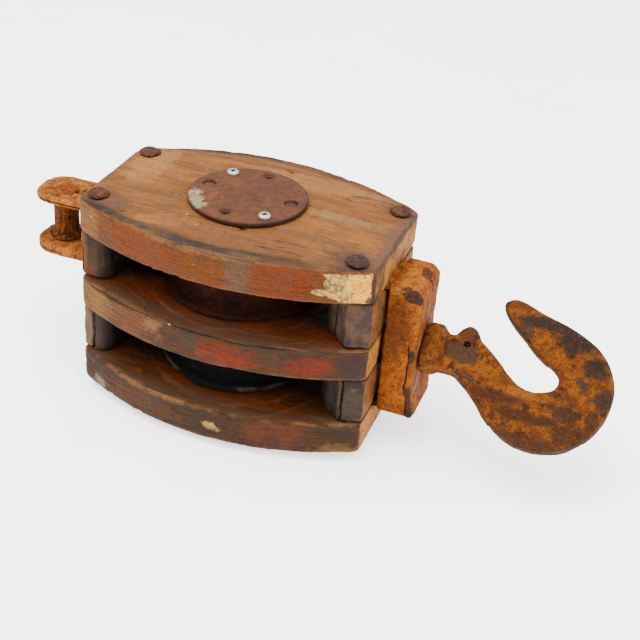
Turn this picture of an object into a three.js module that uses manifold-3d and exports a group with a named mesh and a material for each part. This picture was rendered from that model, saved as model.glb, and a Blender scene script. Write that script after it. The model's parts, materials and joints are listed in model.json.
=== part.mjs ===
// Double sheave block: three wooden cheeks, two sheaves on one axle, inner iron straps, a
// swivelling hook held by a crosshead, and a becket with a turning spool.
// Millimetres. +Z runs along the axle, +X points to the hook. The origin is on the axle's axis,
// at the outer face of the lower cover plate, which is what the block rests on.
import * as THREE from "three";
import { mergeVertices } from "three/addons/utils/BufferGeometryUtils.js";
import Module from "manifold-3d";

const wasm = await Module();
wasm.setup();

// Fits
const WELD = 1e-3; // vertices closer than this are one
const GAP = 0.3; // between parts that are let into each other
const RUNNING = 0.25; // radial clearance of a turning part
const OVER = 1; // how far a cutter runs past the face it opens

// Stack along the axle, from the floor up
const PLATE_T = 4.5;
const CHEEK_T = 30; // at the edges; the outer cheeks are thicker in the middle
const CROWN = 4;
const SLOT_W = 41.5;
const LOWER_IN = PLATE_T + CROWN + CHEEK_T; // inner face of the lower cheek
const MIDDLE_BOTTOM = LOWER_IN + SLOT_W;
const MIDDLE_TOP = MIDDLE_BOTTOM + CHEEK_T;
const UPPER_IN = MIDDLE_TOP + SLOT_W;
const SHELL_TOP = UPPER_IN + CHEEK_T + CROWN;
const MID_Z = (MIDDLE_BOTTOM + MIDDLE_TOP) / 2;
const SWIVEL_Z = MID_Z - 4; // the hook's shank bears low in the crosshead
const STACK_TOP = SHELL_TOP + PLATE_T;

// Shell plan, about its own middle
const SHELL_L = 254;
const SHELL_HALF_MID = 88.7;
const SHELL_HALF_END = 54.7;
const SHELL_CORNER = 4;
const SHELL_DIAGONAL = 138; // from the axle to the shell's corners, where the crown ends
const CHEEK_EDGE = 2.4; // rounding of the cheeks' edges
const AXLE_X = -2.5; // the axle sits a little towards the tail

// Axle and sheaves
const AXLE_R = 12.5;
const BUSH_R = 17;
const SHEAVE_R = 68;
const SHEAVE_W = 37.2;
const SHEAVE_SIDE = 0.4; // play beside the strap
const GROOVE_R = 14.5;
const GROOVE_OUT = 1; // the groove's centre lies this far outside the rim
const RIM_R = 46;
const HUB_R = 25;
const WEB_DEEP = 6;
const WEB_DRAFT = 1; // the web's walls lean by this much
const BUSH_SHORT = 0.4;

// Straps
const STRAP_W = 46;
const STRAP_T = 5;
const STRAP_PROUD = 3; // thickness that stands out of the cheek
const EAR_T = 7;
const EAR_TIP = -194;
const EAR_CORNER = 18;
const EAR_EDGE = 1;
const EAR_START = -127.5;
const MIDDLE_STRAP_T = 11; // shared by both sheaves, so the thickest
const MIDDLE_STRAP_PROUD = 0.5;
const MIDDLE_STRAP_END = 40;
const LOWER_STRAP_END = -118;
const TENON_L = 14;

// Becket
const BECKET_X = -171;
const BECKET_PIN_R = 6.5;
const BECKET_HEAD_R = 10;
const BECKET_HEAD_T = 2.4;
const BECKET_HEAD_EDGE = 2;
const BECKET_SINK_R = 11.5;
const BECKET_SINK_T = 2;
const SPOOL_R = 11;
const SPOOL_FLANGE_R = 15.5;
const SPOOL_FLANGE_T = 3;

// Crosshead
const CROSS_X = 129.5;
const CROSS_T = 28;
const CROSS_HALF_Y = 28;
const CROSS_HALF_Z = 60.5;
const CROSS_BEVEL = 8;
const CROSS_LOW_BEVEL = 1.6;
const CROSS_SIDE_BEVEL = 4;
const CROSS_EDGE = 1.6;
const CROSS_FLARE = 4; // the lower arm is this much thicker at its end

// Swivel and hook
const SHANK_R = 13;
const NUT_R = 20.5;
const NUT_START = 104;
const NUT_END = 124;
const NUT_POCKET_R = 22.5;
const NUT_POCKET_START = 100;
const SHANK_START = 101.5;
const SHANK_EDGE = 1;
const COLLAR_R = 22;
const COLLAR_START = CROSS_X + CROSS_T + GAP;
const COLLAR_END = 176;
const COLLAR_EDGE = 3;
const HOOK_T = 21;
const HOOK_EDGE = 4;
const HOOK_INSET = 1.3;
const HOOK_TURN = THREE.MathUtils.degToRad(42);
const MOUSING_X = 192.5;
const MOUSING_V = 8.5;
const MOUSING_R = 2.6;

// The hook's outline in its own plane, from the neck round the bend and back: [along the shank,
// across it]. A PULL is what a curve leans towards on its way to the next point.
const NECK_START = 172;
const NECK_HALF = 18.5;
const HEEL_START = 187;
const HEEL_PULL = [195, -24];
const BEND = [256.5, -4];
const BEND_LONG = 60.5; // half sizes of the ellipse the bend follows
const BEND_WIDE = 57;
const BEND_LEAN = THREE.MathUtils.degToRad(-50);
const BEND_FROM = THREE.MathUtils.degToRad(265);
const BEND_TO = THREE.MathUtils.degToRad(426);
const BACK_PULLS = [303.5, 33, 284, 41.5];
const BACK_END = [258, 48.5];
const POINT_BACK_PULL = [240, 52.5];
const POINT_TOP = [228.5, 57];
const POINT_PULLS = [217, 61.5, 207.5, 54.5];
const POINT_END = [211, 46];
const THROAT_PULLS = [218, 35, 235, 22];
const THROAT_END = [254, 9];
const BOWL_SIDE_PULLS = [267, 5, 272, -3];
const BOWL_SIDE_END = [264, -9];
const BOWL_PULLS = [255, -15, 243, -15];
const BOWL_END = [233, -6];
const LUG_FOOT_PULL = [218, 7.5];
const LUG_FOOT = [203, 16];
const LUG_PULLS = [198, 30, 185, 30];
const LUG_END = [180, 16];

// Spacers between the cheeks
const SPACER_EDGE = 1.2;
const TAIL_IN = -99;
const TAIL_HALF_OUT = 53;
const TAIL_HALF_IN = 56;
const TAIL_CORNER = 12;
const HOOK_SPACER_IN = 85;
const HOOK_SPACER_IN_HALF = 40;
const HOOK_SPACER_KNEE = 107.5;
const HOOK_SPACER_KNEE_HALF = 60.5;
const HOOK_SPACER_OUT_HALF = 53;

// Through rivets, in the shell's plan
const RIVET_R = 5;
const RIVET_HEAD_R = 9.5;
const RIVET_HEAD_T = 4.5;
const RIVET_SUNK = 2.6; // how far under the cover plate's seat the upper heads bear
const RIVET_LOW = 2.8; // the lower heads are let in, flush with the crowned face
const RIVET_DOME = 1.4;
const RIVETS = {
  far_tail: [-113, 44],
  near_tail: [-113.5, -45],
  far_hook: [114, 43],
  near_hook: [109, -51],
};

// Cover plates and their screws, as polar places about the axle
const PLATE_R = 49.4;
const PLATE_EDGE = 0.7;
const SCREW_R = 2.4;
const SCREW_HOLE_R = 2.6;
const SCREW_L = 16;
const SINK_R = 5;
const SINK_DEEP = 2.6;
const PAN_R = 5;
const PAN_H = 3;
const CROSS_SLOT_W = 1.2;
const CROSS_SLOT_L = 5.6;
const CROSS_SLOT_DEEP = 1.6;
const PILOT_DEEP = 12;
const UPPER_SCREWS = [
  [39.5, 132],
  [39.5, -48],
];
const UPPER_EMPTY = [
  [38, 87],
  [36, 263],
];
const LOWER_SCREWS = [
  [39.5, 45],
  [39.5, 135],
  [39.5, 225],
  [39.5, 315],
];
const SPANNER_HOLES = [
  [37, 172],
  [36, 5],
];
const SPANNER_R = 5.8;
const SPANNER_DEEP = 2.5;

const DOME_REACH = 150; // past the shell's farthest corner
const ROUND = 32;
const SMALL_ROUND = 16;

// A closed surface as a solid that can be cut and joined.
function solid(geometry) {
  const bare = geometry.clone();
  bare.deleteAttribute("normal");
  bare.deleteAttribute("uv");
  const merged = mergeVertices(bare, WELD);
  return new wasm.Manifold(
    new wasm.Mesh({
      numProp: 3,
      vertProperties: merged.attributes.position.array,
      triVerts: new Uint32Array(merged.index.array),
    }),
  );
}

function geometryOf(body) {
  const mesh = body.getMesh();
  const geometry = new THREE.BufferGeometry();
  geometry.setAttribute("position", new THREE.BufferAttribute(new Float32Array(mesh.vertProperties), 3));
  geometry.setIndex(new THREE.BufferAttribute(new Uint32Array(mesh.triVerts), 1));
  const faceted = geometry.toNonIndexed();
  faceted.computeVertexNormals();
  return faceted;
}

// An outline in plan, extruded from z0 to z1 with its edges eased by edge.
function slab(shape, z0, z1, edge = 0, steps = 1, curveSegments = 8, inset = 0) {
  const geometry = new THREE.ExtrudeGeometry(shape, {
    depth: z1 - z0 - 2 * edge,
    bevelEnabled: edge > 0,
    bevelThickness: edge,
    bevelSize: edge,
    bevelOffset: -edge - inset,
    bevelSegments: steps,
    curveSegments,
  });
  geometry.translate(0, 0, z0 + edge);
  return geometry;
}

function block(x0, x1, y0, y1, z0, z1) {
  const geometry = new THREE.BoxGeometry(x1 - x0, y1 - y0, z1 - z0);
  geometry.translate((x0 + x1) / 2, (y0 + y1) / 2, (z0 + z1) / 2);
  return solid(geometry);
}

// A turned body about the Z axis at (x, y); the profile is [radius, height] pairs.
function turned(profile, x, y, segments = ROUND) {
  const points = profile.map(([r, z]) => new THREE.Vector2(r, z));
  const geometry = new THREE.LatheGeometry(points, segments);
  geometry.rotateX(Math.PI / 2);
  geometry.translate(x, y, 0);
  return solid(geometry);
}

function rod(r, z0, z1, x, y, segments = ROUND) {
  return turned([[0, z0], [r, z0], [r, z1], [0, z1]], x, y, segments);
}

// The same, about the hook's own X axis.
function turnedAlongX(profile, segments = ROUND) {
  const points = profile.map(([r, x]) => new THREE.Vector2(r, x));
  const geometry = new THREE.LatheGeometry(points, segments);
  geometry.rotateZ(-Math.PI / 2);
  return solid(geometry);
}

function cut(body, cutters) {
  return cutters.reduce((left, cutter) => left.subtract(cutter), body);
}

function polar([r, degrees]) {
  const angle = THREE.MathUtils.degToRad(degrees);
  return [AXLE_X + r * Math.cos(angle), r * Math.sin(angle)];
}

const part = new THREE.Group();
part.name = "double_sheave_block";
part.position.x = -AXLE_X;

function add(name, body, color, roughness, metalness, parent = part) {
  const material = new THREE.MeshStandardMaterial({ color, roughness, metalness });
  const mesh = new THREE.Mesh(geometryOf(body), material);
  mesh.name = name;
  parent.add(mesh);
}

const WOOD = [0x8a5a34, 0.75, 0];
const DARK_WOOD = [0x4d3a33, 0.85, 0];
const IRON = [0x8f5a2c, 0.9, 0.3];
const PLATE_IRON = [0x5b4038, 0.6, 0.4];
const SHEAVE_IRON = [0x3a2e2a, 0.6, 0.6];
const BRONZE = [0x8a6d3b, 0.5, 0.8];
const ZINC = [0xb9b9b4, 0.35, 0.9];

// Shell

function shellShape() {
  const bulge = SHELL_HALF_MID - SHELL_HALF_END;
  const half = SHELL_L / 2;
  const radius = (half * half + bulge * bulge) / (2 * bulge);
  const sweep = Math.asin((half - SHELL_CORNER) / radius);
  const flat = SHELL_HALF_END - SHELL_CORNER / 2;
  const shape = new THREE.Shape();
  shape.moveTo(-half, flat);
  shape.lineTo(-half, -flat);
  shape.absarc(0, radius - SHELL_HALF_MID, radius, -Math.PI / 2 - sweep, -Math.PI / 2 + sweep, false);
  shape.lineTo(half, -flat);
  shape.lineTo(half, flat);
  shape.absarc(0, SHELL_HALF_MID - radius, radius, Math.PI / 2 - sweep, Math.PI / 2 + sweep, false);
  shape.closePath();
  return shape;
}

function rivetHoles(z0, z1) {
  return Object.values(RIVETS).map(([x, y]) => rod(RIVET_R + GAP, z0 - OVER, z1 + OVER, x, y, SMALL_ROUND));
}

function strapSeat(x0, x1, z0, z1) {
  return block(x0, x1, -STRAP_W / 2 - GAP, STRAP_W / 2 + GAP, z0, z1);
}

function screwHoles(places, z0, z1) {
  return places.map((place) => rod(SCREW_HOLE_R, z0, z1, ...polar(place), SMALL_ROUND));
}

function nutPocket() {
  const pocket = turnedAlongX([
    [0, NUT_POCKET_START],
    [NUT_POCKET_R, NUT_POCKET_START],
    [NUT_POCKET_R, SHELL_L / 2 + OVER],
    [0, SHELL_L / 2 + OVER],
  ]);
  return pocket.translate([0, 0, SWIVEL_Z]);
}

const UPPER_STRAP_Z = UPPER_IN - STRAP_PROUD;
const LOWER_STRAP_Z = LOWER_IN + STRAP_PROUD - STRAP_T;
const MIDDLE_STRAP_Z = MIDDLE_TOP + MIDDLE_STRAP_PROUD - MIDDLE_STRAP_T;
const RUN = SHELL_L / 2 + OVER;

// Everything on the inner side of an outer cheek's face, which is a wide shallow dome with a flat
// middle for the cover plate. outward is 1 for the upper cheek and -1 for the lower.
function dome(flatZ, outward) {
  const fall = 0.5 * (SHELL_DIAGONAL * SHELL_DIAGONAL - PLATE_R * PLATE_R);
  const radius = fall / CROWN;
  const steps = 5;
  const profile = [[0, flatZ]];
  for (let i = 0; i <= steps; i += 1) {
    const r = PLATE_R + GAP + ((DOME_REACH - PLATE_R) * i) / steps;
    profile.push([r, flatZ - (outward * (r * r - PLATE_R * PLATE_R)) / (2 * radius)]);
  }
  const base = flatZ - 2 * outward * CHEEK_T;
  profile.push([DOME_REACH + GAP, base], [0, base]);
  return turned(outward > 0 ? profile.reverse() : profile, AXLE_X, 0, 2 * SMALL_ROUND);
}

function cheek(z0, z1, cutters) {
  const board = solid(slab(shellShape(), z0, z1, CHEEK_EDGE, 2));
  const bore = rod(AXLE_R + GAP, z0 - OVER, z1 + OVER, AXLE_X, 0);
  return cut(board, [bore, ...rivetHoles(z0, z1), ...cutters]);
}

function rivetSeats(z0, z1) {
  return Object.values(RIVETS).map(([x, y]) => rod(RIVET_HEAD_R + GAP, z0, z1, x, y, SMALL_ROUND));
}

const LOWER_HEAD = PLATE_T + RIVET_LOW;
const LOWER_SEAT = LOWER_HEAD + RIVET_HEAD_T;
const UPPER_SEAT = SHELL_TOP - RIVET_SUNK;

add("lower_cheek", cheek(PLATE_T, LOWER_IN, [
  ...rivetSeats(0, LOWER_SEAT),
  strapSeat(LOWER_STRAP_END - GAP, RUN, LOWER_STRAP_Z - GAP, LOWER_IN + OVER),
  ...screwHoles(LOWER_SCREWS, PLATE_T - OVER, PLATE_T + SCREW_L),
]).intersect(dome(PLATE_T, -1)), ...WOOD);

add("middle_cheek", cheek(MIDDLE_BOTTOM, MIDDLE_TOP, [
  strapSeat(-RUN, MIDDLE_STRAP_END + GAP, MIDDLE_STRAP_Z - GAP, MIDDLE_TOP + OVER),
  nutPocket(),
]), ...WOOD);

add("upper_cheek", cheek(UPPER_IN, SHELL_TOP, [
  ...rivetSeats(UPPER_SEAT, STACK_TOP),
  strapSeat(-RUN, RUN, UPPER_IN - OVER, UPPER_STRAP_Z + STRAP_T + GAP),
  ...screwHoles(UPPER_SCREWS, SHELL_TOP - SCREW_L, SHELL_TOP + OVER),
  ...screwHoles(UPPER_EMPTY, SHELL_TOP - PILOT_DEEP, SHELL_TOP + OVER),
]).intersect(dome(SHELL_TOP, 1)), ...WOOD);

// Spacers

function tailShape() {
  const shape = new THREE.Shape();
  const straight = TAIL_HALF_IN - TAIL_CORNER;
  shape.moveTo(-SHELL_L / 2, -TAIL_HALF_OUT);
  shape.lineTo(TAIL_IN - TAIL_CORNER, -TAIL_HALF_IN);
  shape.absarc(TAIL_IN - TAIL_CORNER, -straight, TAIL_CORNER, -Math.PI / 2, 0, false);
  shape.absarc(TAIL_IN - TAIL_CORNER, straight, TAIL_CORNER, 0, Math.PI / 2, false);
  shape.lineTo(-SHELL_L / 2, TAIL_HALF_OUT);
  shape.closePath();
  return shape;
}

function hookSpacerShape() {
  const shape = new THREE.Shape();
  shape.moveTo(SHELL_L / 2, -HOOK_SPACER_OUT_HALF);
  shape.lineTo(SHELL_L / 2, HOOK_SPACER_OUT_HALF);
  shape.lineTo(HOOK_SPACER_KNEE, HOOK_SPACER_KNEE_HALF);
  shape.lineTo(HOOK_SPACER_IN, HOOK_SPACER_IN_HALF);
  shape.lineTo(HOOK_SPACER_IN, -HOOK_SPACER_IN_HALF);
  shape.lineTo(HOOK_SPACER_KNEE, -HOOK_SPACER_KNEE_HALF);
  shape.closePath();
  return shape;
}

function spacer(shape, z0, cutters) {
  const z1 = z0 + SLOT_W;
  return cut(solid(slab(shape, z0, z1, SPACER_EDGE, 1, 5)), [...rivetHoles(z0, z1), ...cutters]);
}

const upperSeat = strapSeat(-RUN, RUN, UPPER_STRAP_Z - GAP, UPPER_IN + OVER);
const lowerSeat = strapSeat(LOWER_STRAP_END - GAP, RUN, LOWER_IN - OVER, LOWER_IN + STRAP_PROUD + GAP);
const middleSeat = strapSeat(-RUN, 0, MIDDLE_TOP - OVER, MIDDLE_TOP + MIDDLE_STRAP_PROUD + GAP);

add("upper_tail_spacer", spacer(tailShape(), MIDDLE_TOP, [upperSeat, middleSeat]), ...DARK_WOOD);
add("lower_tail_spacer", spacer(tailShape(), LOWER_IN, [lowerSeat]), ...DARK_WOOD);
add("upper_hook_spacer", spacer(hookSpacerShape(), MIDDLE_TOP, [upperSeat, nutPocket()]), ...DARK_WOOD);
add("lower_hook_spacer", spacer(hookSpacerShape(), LOWER_IN, [lowerSeat, nutPocket()]), ...DARK_WOOD);

// Straps and becket

function earShape(x1) {
  const half = STRAP_W / 2;
  const corner = EAR_TIP + EAR_CORNER;
  const shape = new THREE.Shape();
  shape.moveTo(x1, -half);
  shape.lineTo(x1, half);
  shape.absarc(corner, half - EAR_CORNER, EAR_CORNER, Math.PI / 2, Math.PI, false);
  shape.absarc(corner, EAR_CORNER - half, EAR_CORNER, Math.PI, 1.5 * Math.PI, false);
  shape.closePath();
  return shape;
}

function strapBore(z0, z1) {
  return rod(AXLE_R + GAP, z0 - OVER, z1 + OVER, AXLE_X, 0);
}

function pinBore(z0, z1) {
  return rod(BECKET_PIN_R + GAP, z0 - OVER, z1 + OVER, BECKET_X, 0, SMALL_ROUND);
}

const CROSS_TENON = CROSS_X + TENON_L;
const upperEar = solid(slab(earShape(EAR_START), UPPER_STRAP_Z, UPPER_STRAP_Z + EAR_T, EAR_EDGE, 1, 4));
const upperBar = block(
  EAR_START - EAR_T, CROSS_TENON, -STRAP_W / 2, STRAP_W / 2, UPPER_STRAP_Z, UPPER_STRAP_Z + STRAP_T,
);
const SINK_FLOOR = UPPER_STRAP_Z + EAR_T - BECKET_SINK_T;
const earSink = rod(BECKET_SINK_R, SINK_FLOOR, SINK_FLOOR + BECKET_SINK_T + OVER, BECKET_X, 0, SMALL_ROUND);
add("upper_strap", cut(upperEar.add(upperBar), [
  strapBore(UPPER_STRAP_Z, UPPER_STRAP_Z + EAR_T),
  pinBore(UPPER_STRAP_Z, UPPER_STRAP_Z + EAR_T),
  earSink,
]), ...IRON);

add("middle_strap", cut(
  solid(slab(earShape(MIDDLE_STRAP_END), MIDDLE_STRAP_Z, MIDDLE_STRAP_Z + MIDDLE_STRAP_T, EAR_EDGE, 1, 4)),
  [
    strapBore(MIDDLE_STRAP_Z, MIDDLE_STRAP_Z + MIDDLE_STRAP_T),
    pinBore(MIDDLE_STRAP_Z, MIDDLE_STRAP_Z + MIDDLE_STRAP_T),
  ],
), ...IRON);

add("lower_strap", block(
  LOWER_STRAP_END, CROSS_TENON, -STRAP_W / 2, STRAP_W / 2, LOWER_STRAP_Z, LOWER_STRAP_Z + STRAP_T,
).subtract(strapBore(LOWER_STRAP_Z, LOWER_STRAP_Z + STRAP_T)), ...IRON);

const EAR_LOW = MIDDLE_STRAP_Z;
add("becket_pin", turned([
  [0, EAR_LOW - BECKET_HEAD_T],
  [BECKET_HEAD_R - BECKET_HEAD_EDGE, EAR_LOW - BECKET_HEAD_T],
  [BECKET_HEAD_R, EAR_LOW - BECKET_HEAD_T / 2],
  [BECKET_HEAD_R, EAR_LOW],
  [BECKET_PIN_R, EAR_LOW],
  [BECKET_PIN_R, SINK_FLOOR],
  [BECKET_HEAD_R, SINK_FLOOR],
  [BECKET_HEAD_R - BECKET_HEAD_EDGE / 2, SINK_FLOOR + BECKET_SINK_T / 2],
  [0, SINK_FLOOR + BECKET_SINK_T - GAP],
], BECKET_X, 0, SMALL_ROUND), ...IRON);

const becket = new THREE.Group();
part.add(becket);
const SPOOL_LOW = MIDDLE_STRAP_Z + MIDDLE_STRAP_T + GAP;
const SPOOL_HIGH = UPPER_STRAP_Z - GAP;
const SPOOL_BORE = BECKET_PIN_R + RUNNING;
add("becket_spool", turned([
  [SPOOL_BORE, SPOOL_LOW],
  [SPOOL_FLANGE_R, SPOOL_LOW],
  [SPOOL_FLANGE_R, SPOOL_LOW + SPOOL_FLANGE_T],
  [SPOOL_R, SPOOL_LOW + 2 * SPOOL_FLANGE_T],
  [SPOOL_R, SPOOL_HIGH - 2 * SPOOL_FLANGE_T],
  [SPOOL_FLANGE_R, SPOOL_HIGH - SPOOL_FLANGE_T],
  [SPOOL_FLANGE_R, SPOOL_HIGH],
  [SPOOL_BORE, SPOOL_HIGH],
  [SPOOL_BORE, SPOOL_LOW],
], BECKET_X, 0, ROUND), ...IRON, becket);

// Crosshead

function crossheadShape() {
  const x1 = CROSS_X + CROSS_T;
  const low = MID_Z - CROSS_HALF_Z;
  const high = MID_Z + CROSS_HALF_Z;
  const shape = new THREE.Shape();
  const foot = x1 + CROSS_FLARE;
  shape.moveTo(CROSS_X, low);
  shape.lineTo(foot - CROSS_LOW_BEVEL, low);
  shape.lineTo(foot, low + CROSS_LOW_BEVEL);
  shape.lineTo(x1, SWIVEL_Z - COLLAR_R - OVER);
  shape.lineTo(x1, high - CROSS_BEVEL);
  shape.lineTo(x1 - CROSS_BEVEL, high);
  shape.lineTo(CROSS_X, high);
  shape.closePath();
  return shape;
}

// Both ends slope away at the sides.
function crossheadEnds() {
  const half = CROSS_HALF_Z;
  const flat = CROSS_HALF_Y - CROSS_SIDE_BEVEL;
  const shape = new THREE.Shape();
  shape.moveTo(-CROSS_HALF_Y, CROSS_SIDE_BEVEL - half);
  shape.lineTo(-flat, -half);
  shape.lineTo(flat, -half);
  shape.lineTo(CROSS_HALF_Y, CROSS_SIDE_BEVEL - half);
  shape.lineTo(CROSS_HALF_Y, half - CROSS_SIDE_BEVEL);
  shape.lineTo(flat, half);
  shape.lineTo(-flat, half);
  shape.lineTo(-CROSS_HALF_Y, half - CROSS_SIDE_BEVEL);
  shape.closePath();
  const ends = slab(shape, CROSS_X - OVER, CROSS_X + CROSS_T + CROSS_FLARE + OVER);
  ends.rotateX(Math.PI / 2);
  ends.rotateZ(Math.PI / 2);
  ends.translate(0, 0, MID_Z);
  return solid(ends);
}

function crosshead() {
  const bar = slab(crossheadShape(), -CROSS_HALF_Y, CROSS_HALF_Y, CROSS_EDGE);
  bar.rotateX(Math.PI / 2);
  const bore = turnedAlongX([
    [0, CROSS_X - OVER],
    [SHANK_R + RUNNING, CROSS_X - OVER],
    [SHANK_R + RUNNING, CROSS_X + CROSS_T + OVER],
    [0, CROSS_X + CROSS_T + OVER],
  ]).translate([0, 0, SWIVEL_Z]);
  const mortise = (z) => strapSeat(CROSS_X - OVER, CROSS_TENON + GAP, z - GAP, z + STRAP_T + GAP);
  return cut(solid(bar).intersect(crossheadEnds()), [bore, mortise(UPPER_STRAP_Z), mortise(LOWER_STRAP_Z)]);
}

add("crosshead", crosshead(), ...IRON);

// Hook

function hookShape() {
  const bend = [...BEND, BEND_LONG, BEND_WIDE, BEND_FROM, BEND_TO, false, BEND_LEAN];
  const heel = new THREE.EllipseCurve(...bend).getPoint(0);
  const shape = new THREE.Shape();
  shape.moveTo(NECK_START, -NECK_HALF);
  shape.lineTo(HEEL_START, -NECK_HALF);
  shape.quadraticCurveTo(...HEEL_PULL, heel.x, heel.y);
  shape.absellipse(...bend);
  shape.bezierCurveTo(...BACK_PULLS, ...BACK_END);
  shape.quadraticCurveTo(...POINT_BACK_PULL, ...POINT_TOP);
  shape.bezierCurveTo(...POINT_PULLS, ...POINT_END);
  shape.bezierCurveTo(...THROAT_PULLS, ...THROAT_END);
  shape.bezierCurveTo(...BOWL_SIDE_PULLS, ...BOWL_SIDE_END);
  shape.bezierCurveTo(...BOWL_PULLS, ...BOWL_END);
  shape.quadraticCurveTo(...LUG_FOOT_PULL, ...LUG_FOOT);
  shape.bezierCurveTo(...LUG_PULLS, ...LUG_END);
  shape.lineTo(NECK_START, LUG_END[1]);
  shape.closePath();
  return shape;
}

function hook() {
  const flat = solid(slab(hookShape(), -HOOK_T / 2, HOOK_T / 2, HOOK_EDGE, 2, 7, HOOK_INSET));
  const shank = turnedAlongX([
    [0, SHANK_START],
    [SHANK_R - SHANK_EDGE, SHANK_START],
    [SHANK_R, SHANK_START + SHANK_EDGE],
    [SHANK_R, COLLAR_START],
    [COLLAR_R - COLLAR_EDGE / 2, COLLAR_START],
    [COLLAR_R, COLLAR_START + COLLAR_EDGE],
    [COLLAR_R, COLLAR_END - 2 * COLLAR_EDGE],
    [COLLAR_R - 2 * COLLAR_EDGE, COLLAR_END],
    [0, COLLAR_END],
  ]);
  const mousing = rod(MOUSING_R, -HOOK_T, HOOK_T, MOUSING_X, MOUSING_V, SMALL_ROUND);
  return flat.add(shank).subtract(mousing);
}

const swivel = new THREE.Group();
swivel.position.z = SWIVEL_Z;
swivel.rotation.x = HOOK_TURN;
part.add(swivel);
add("hook", hook(), ...IRON, swivel);

function hexNut() {
  const geometry = new THREE.CylinderGeometry(NUT_R, NUT_R, NUT_END - NUT_START, 6);
  geometry.rotateZ(-Math.PI / 2);
  geometry.translate((NUT_START + NUT_END) / 2, 0, 0);
  const bore = turnedAlongX([
    [0, NUT_START - OVER],
    [SHANK_R + GAP, NUT_START - OVER],
    [SHANK_R + GAP, NUT_END + OVER],
    [0, NUT_END + OVER],
  ]);
  return solid(geometry).subtract(bore);
}

add("swivel_nut", hexNut(), ...IRON, swivel);

// Axle, sheaves and bushes

add("axle", rod(AXLE_R, PLATE_T + GAP, SHELL_TOP - GAP, AXLE_X, 0), ...SHEAVE_IRON);

function sheaveProfile(z0) {
  const z1 = z0 + SHEAVE_W;
  const middle = (z0 + z1) / 2;
  const centre = SHEAVE_R + GROOVE_OUT;
  const opening = Math.asin(Math.sqrt(GROOVE_R * GROOVE_R - GROOVE_OUT * GROOVE_OUT) / GROOVE_R);
  const steps = 6;
  const groove = [];
  for (let i = 0; i <= steps; i += 1) {
    const angle = -opening + (2 * opening * i) / steps;
    groove.push([centre - GROOVE_R * Math.cos(angle), middle + GROOVE_R * Math.sin(angle)]);
  }
  return [
    [BUSH_R + GAP / 3, z0],
    [HUB_R, z0],
    [HUB_R + WEB_DRAFT, z0 + WEB_DEEP],
    [RIM_R - WEB_DRAFT, z0 + WEB_DEEP],
    [RIM_R, z0],
    [SHEAVE_R, z0],
    ...groove,
    [SHEAVE_R, z1],
    [RIM_R, z1],
    [RIM_R - WEB_DRAFT, z1 - WEB_DEEP],
    [HUB_R + WEB_DRAFT, z1 - WEB_DEEP],
    [HUB_R, z1],
    [BUSH_R + GAP / 3, z1],
    [BUSH_R + GAP / 3, z0],
  ];
}

function bushProfile(z0) {
  const bore = AXLE_R + RUNNING;
  const low = z0 + BUSH_SHORT;
  const high = z0 + SHEAVE_W - BUSH_SHORT;
  return [[bore, low], [BUSH_R, low], [BUSH_R, high], [bore, high], [bore, low]];
}

const UPPER_SHEAVE_Z = MIDDLE_TOP + MIDDLE_STRAP_PROUD + SHEAVE_SIDE;
const LOWER_SHEAVE_Z = LOWER_IN + STRAP_PROUD + SHEAVE_SIDE + GAP;
for (const [name, z] of [["upper", UPPER_SHEAVE_Z], ["lower", LOWER_SHEAVE_Z]]) {
  const turning = new THREE.Group();
  part.add(turning);
  add(name + "_sheave", turned(sheaveProfile(z), AXLE_X, 0), ...SHEAVE_IRON, turning);
  add(name + "_bush", turned(bushProfile(z), AXLE_X, 0), ...BRONZE, turning);
}

// Rivets

for (const [place, [x, y]] of Object.entries(RIVETS)) {
  add("rivet_" + place, turned([
    [0, LOWER_HEAD],
    [RIVET_HEAD_R - RIVET_DOME, LOWER_HEAD],
    [RIVET_HEAD_R, LOWER_HEAD + RIVET_DOME],
    [RIVET_HEAD_R, LOWER_SEAT],
    [RIVET_R, LOWER_SEAT],
    [RIVET_R, UPPER_SEAT],
    [RIVET_HEAD_R, UPPER_SEAT],
    [RIVET_HEAD_R, UPPER_SEAT + RIVET_HEAD_T - 2 * RIVET_DOME],
    [RIVET_HEAD_R - 2 * RIVET_DOME, UPPER_SEAT + RIVET_HEAD_T - RIVET_DOME / 2],
    [0, UPPER_SEAT + RIVET_HEAD_T],
  ], x, y, SMALL_ROUND), ...IRON);
}

// Cover plates and screws

function disc() {
  const shape = new THREE.Shape();
  shape.absarc(AXLE_X, 0, PLATE_R, 0, 2 * Math.PI, false);
  return shape;
}

function countersink(place, faceZ, inward) {
  const [x, y] = polar(place);
  const deep = faceZ + inward * SINK_DEEP;
  const out = faceZ - inward * OVER;
  const rim = [[SINK_R, out], [SINK_R, faceZ], [SCREW_HOLE_R, deep]];
  const profile = inward > 0 ? [[0, out], ...rim, [0, deep]] : [[0, deep], ...rim.reverse(), [0, out]];
  return turned(profile, x, y, SMALL_ROUND);
}

const spannerHoles = SPANNER_HOLES.map((place) => {
  return rod(SPANNER_R, STACK_TOP - SPANNER_DEEP, STACK_TOP + OVER, ...polar(place), SMALL_ROUND);
});
add("upper_cover_plate", cut(solid(slab(disc(), SHELL_TOP, STACK_TOP, PLATE_EDGE, 1, 20)), [
  ...spannerHoles,
  ...screwHoles([...UPPER_SCREWS, ...UPPER_EMPTY], SHELL_TOP - OVER, STACK_TOP + OVER),
  ...UPPER_EMPTY.map((place) => countersink(place, STACK_TOP, -1)),
]), ...PLATE_IRON);

add("lower_cover_plate", cut(solid(slab(disc(), 0, PLATE_T, PLATE_EDGE, 1, 20)), [
  ...screwHoles(LOWER_SCREWS, -OVER, PLATE_T + OVER),
  ...LOWER_SCREWS.map((place) => countersink(place, 0, 1)),
]), ...PLATE_IRON);

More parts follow.
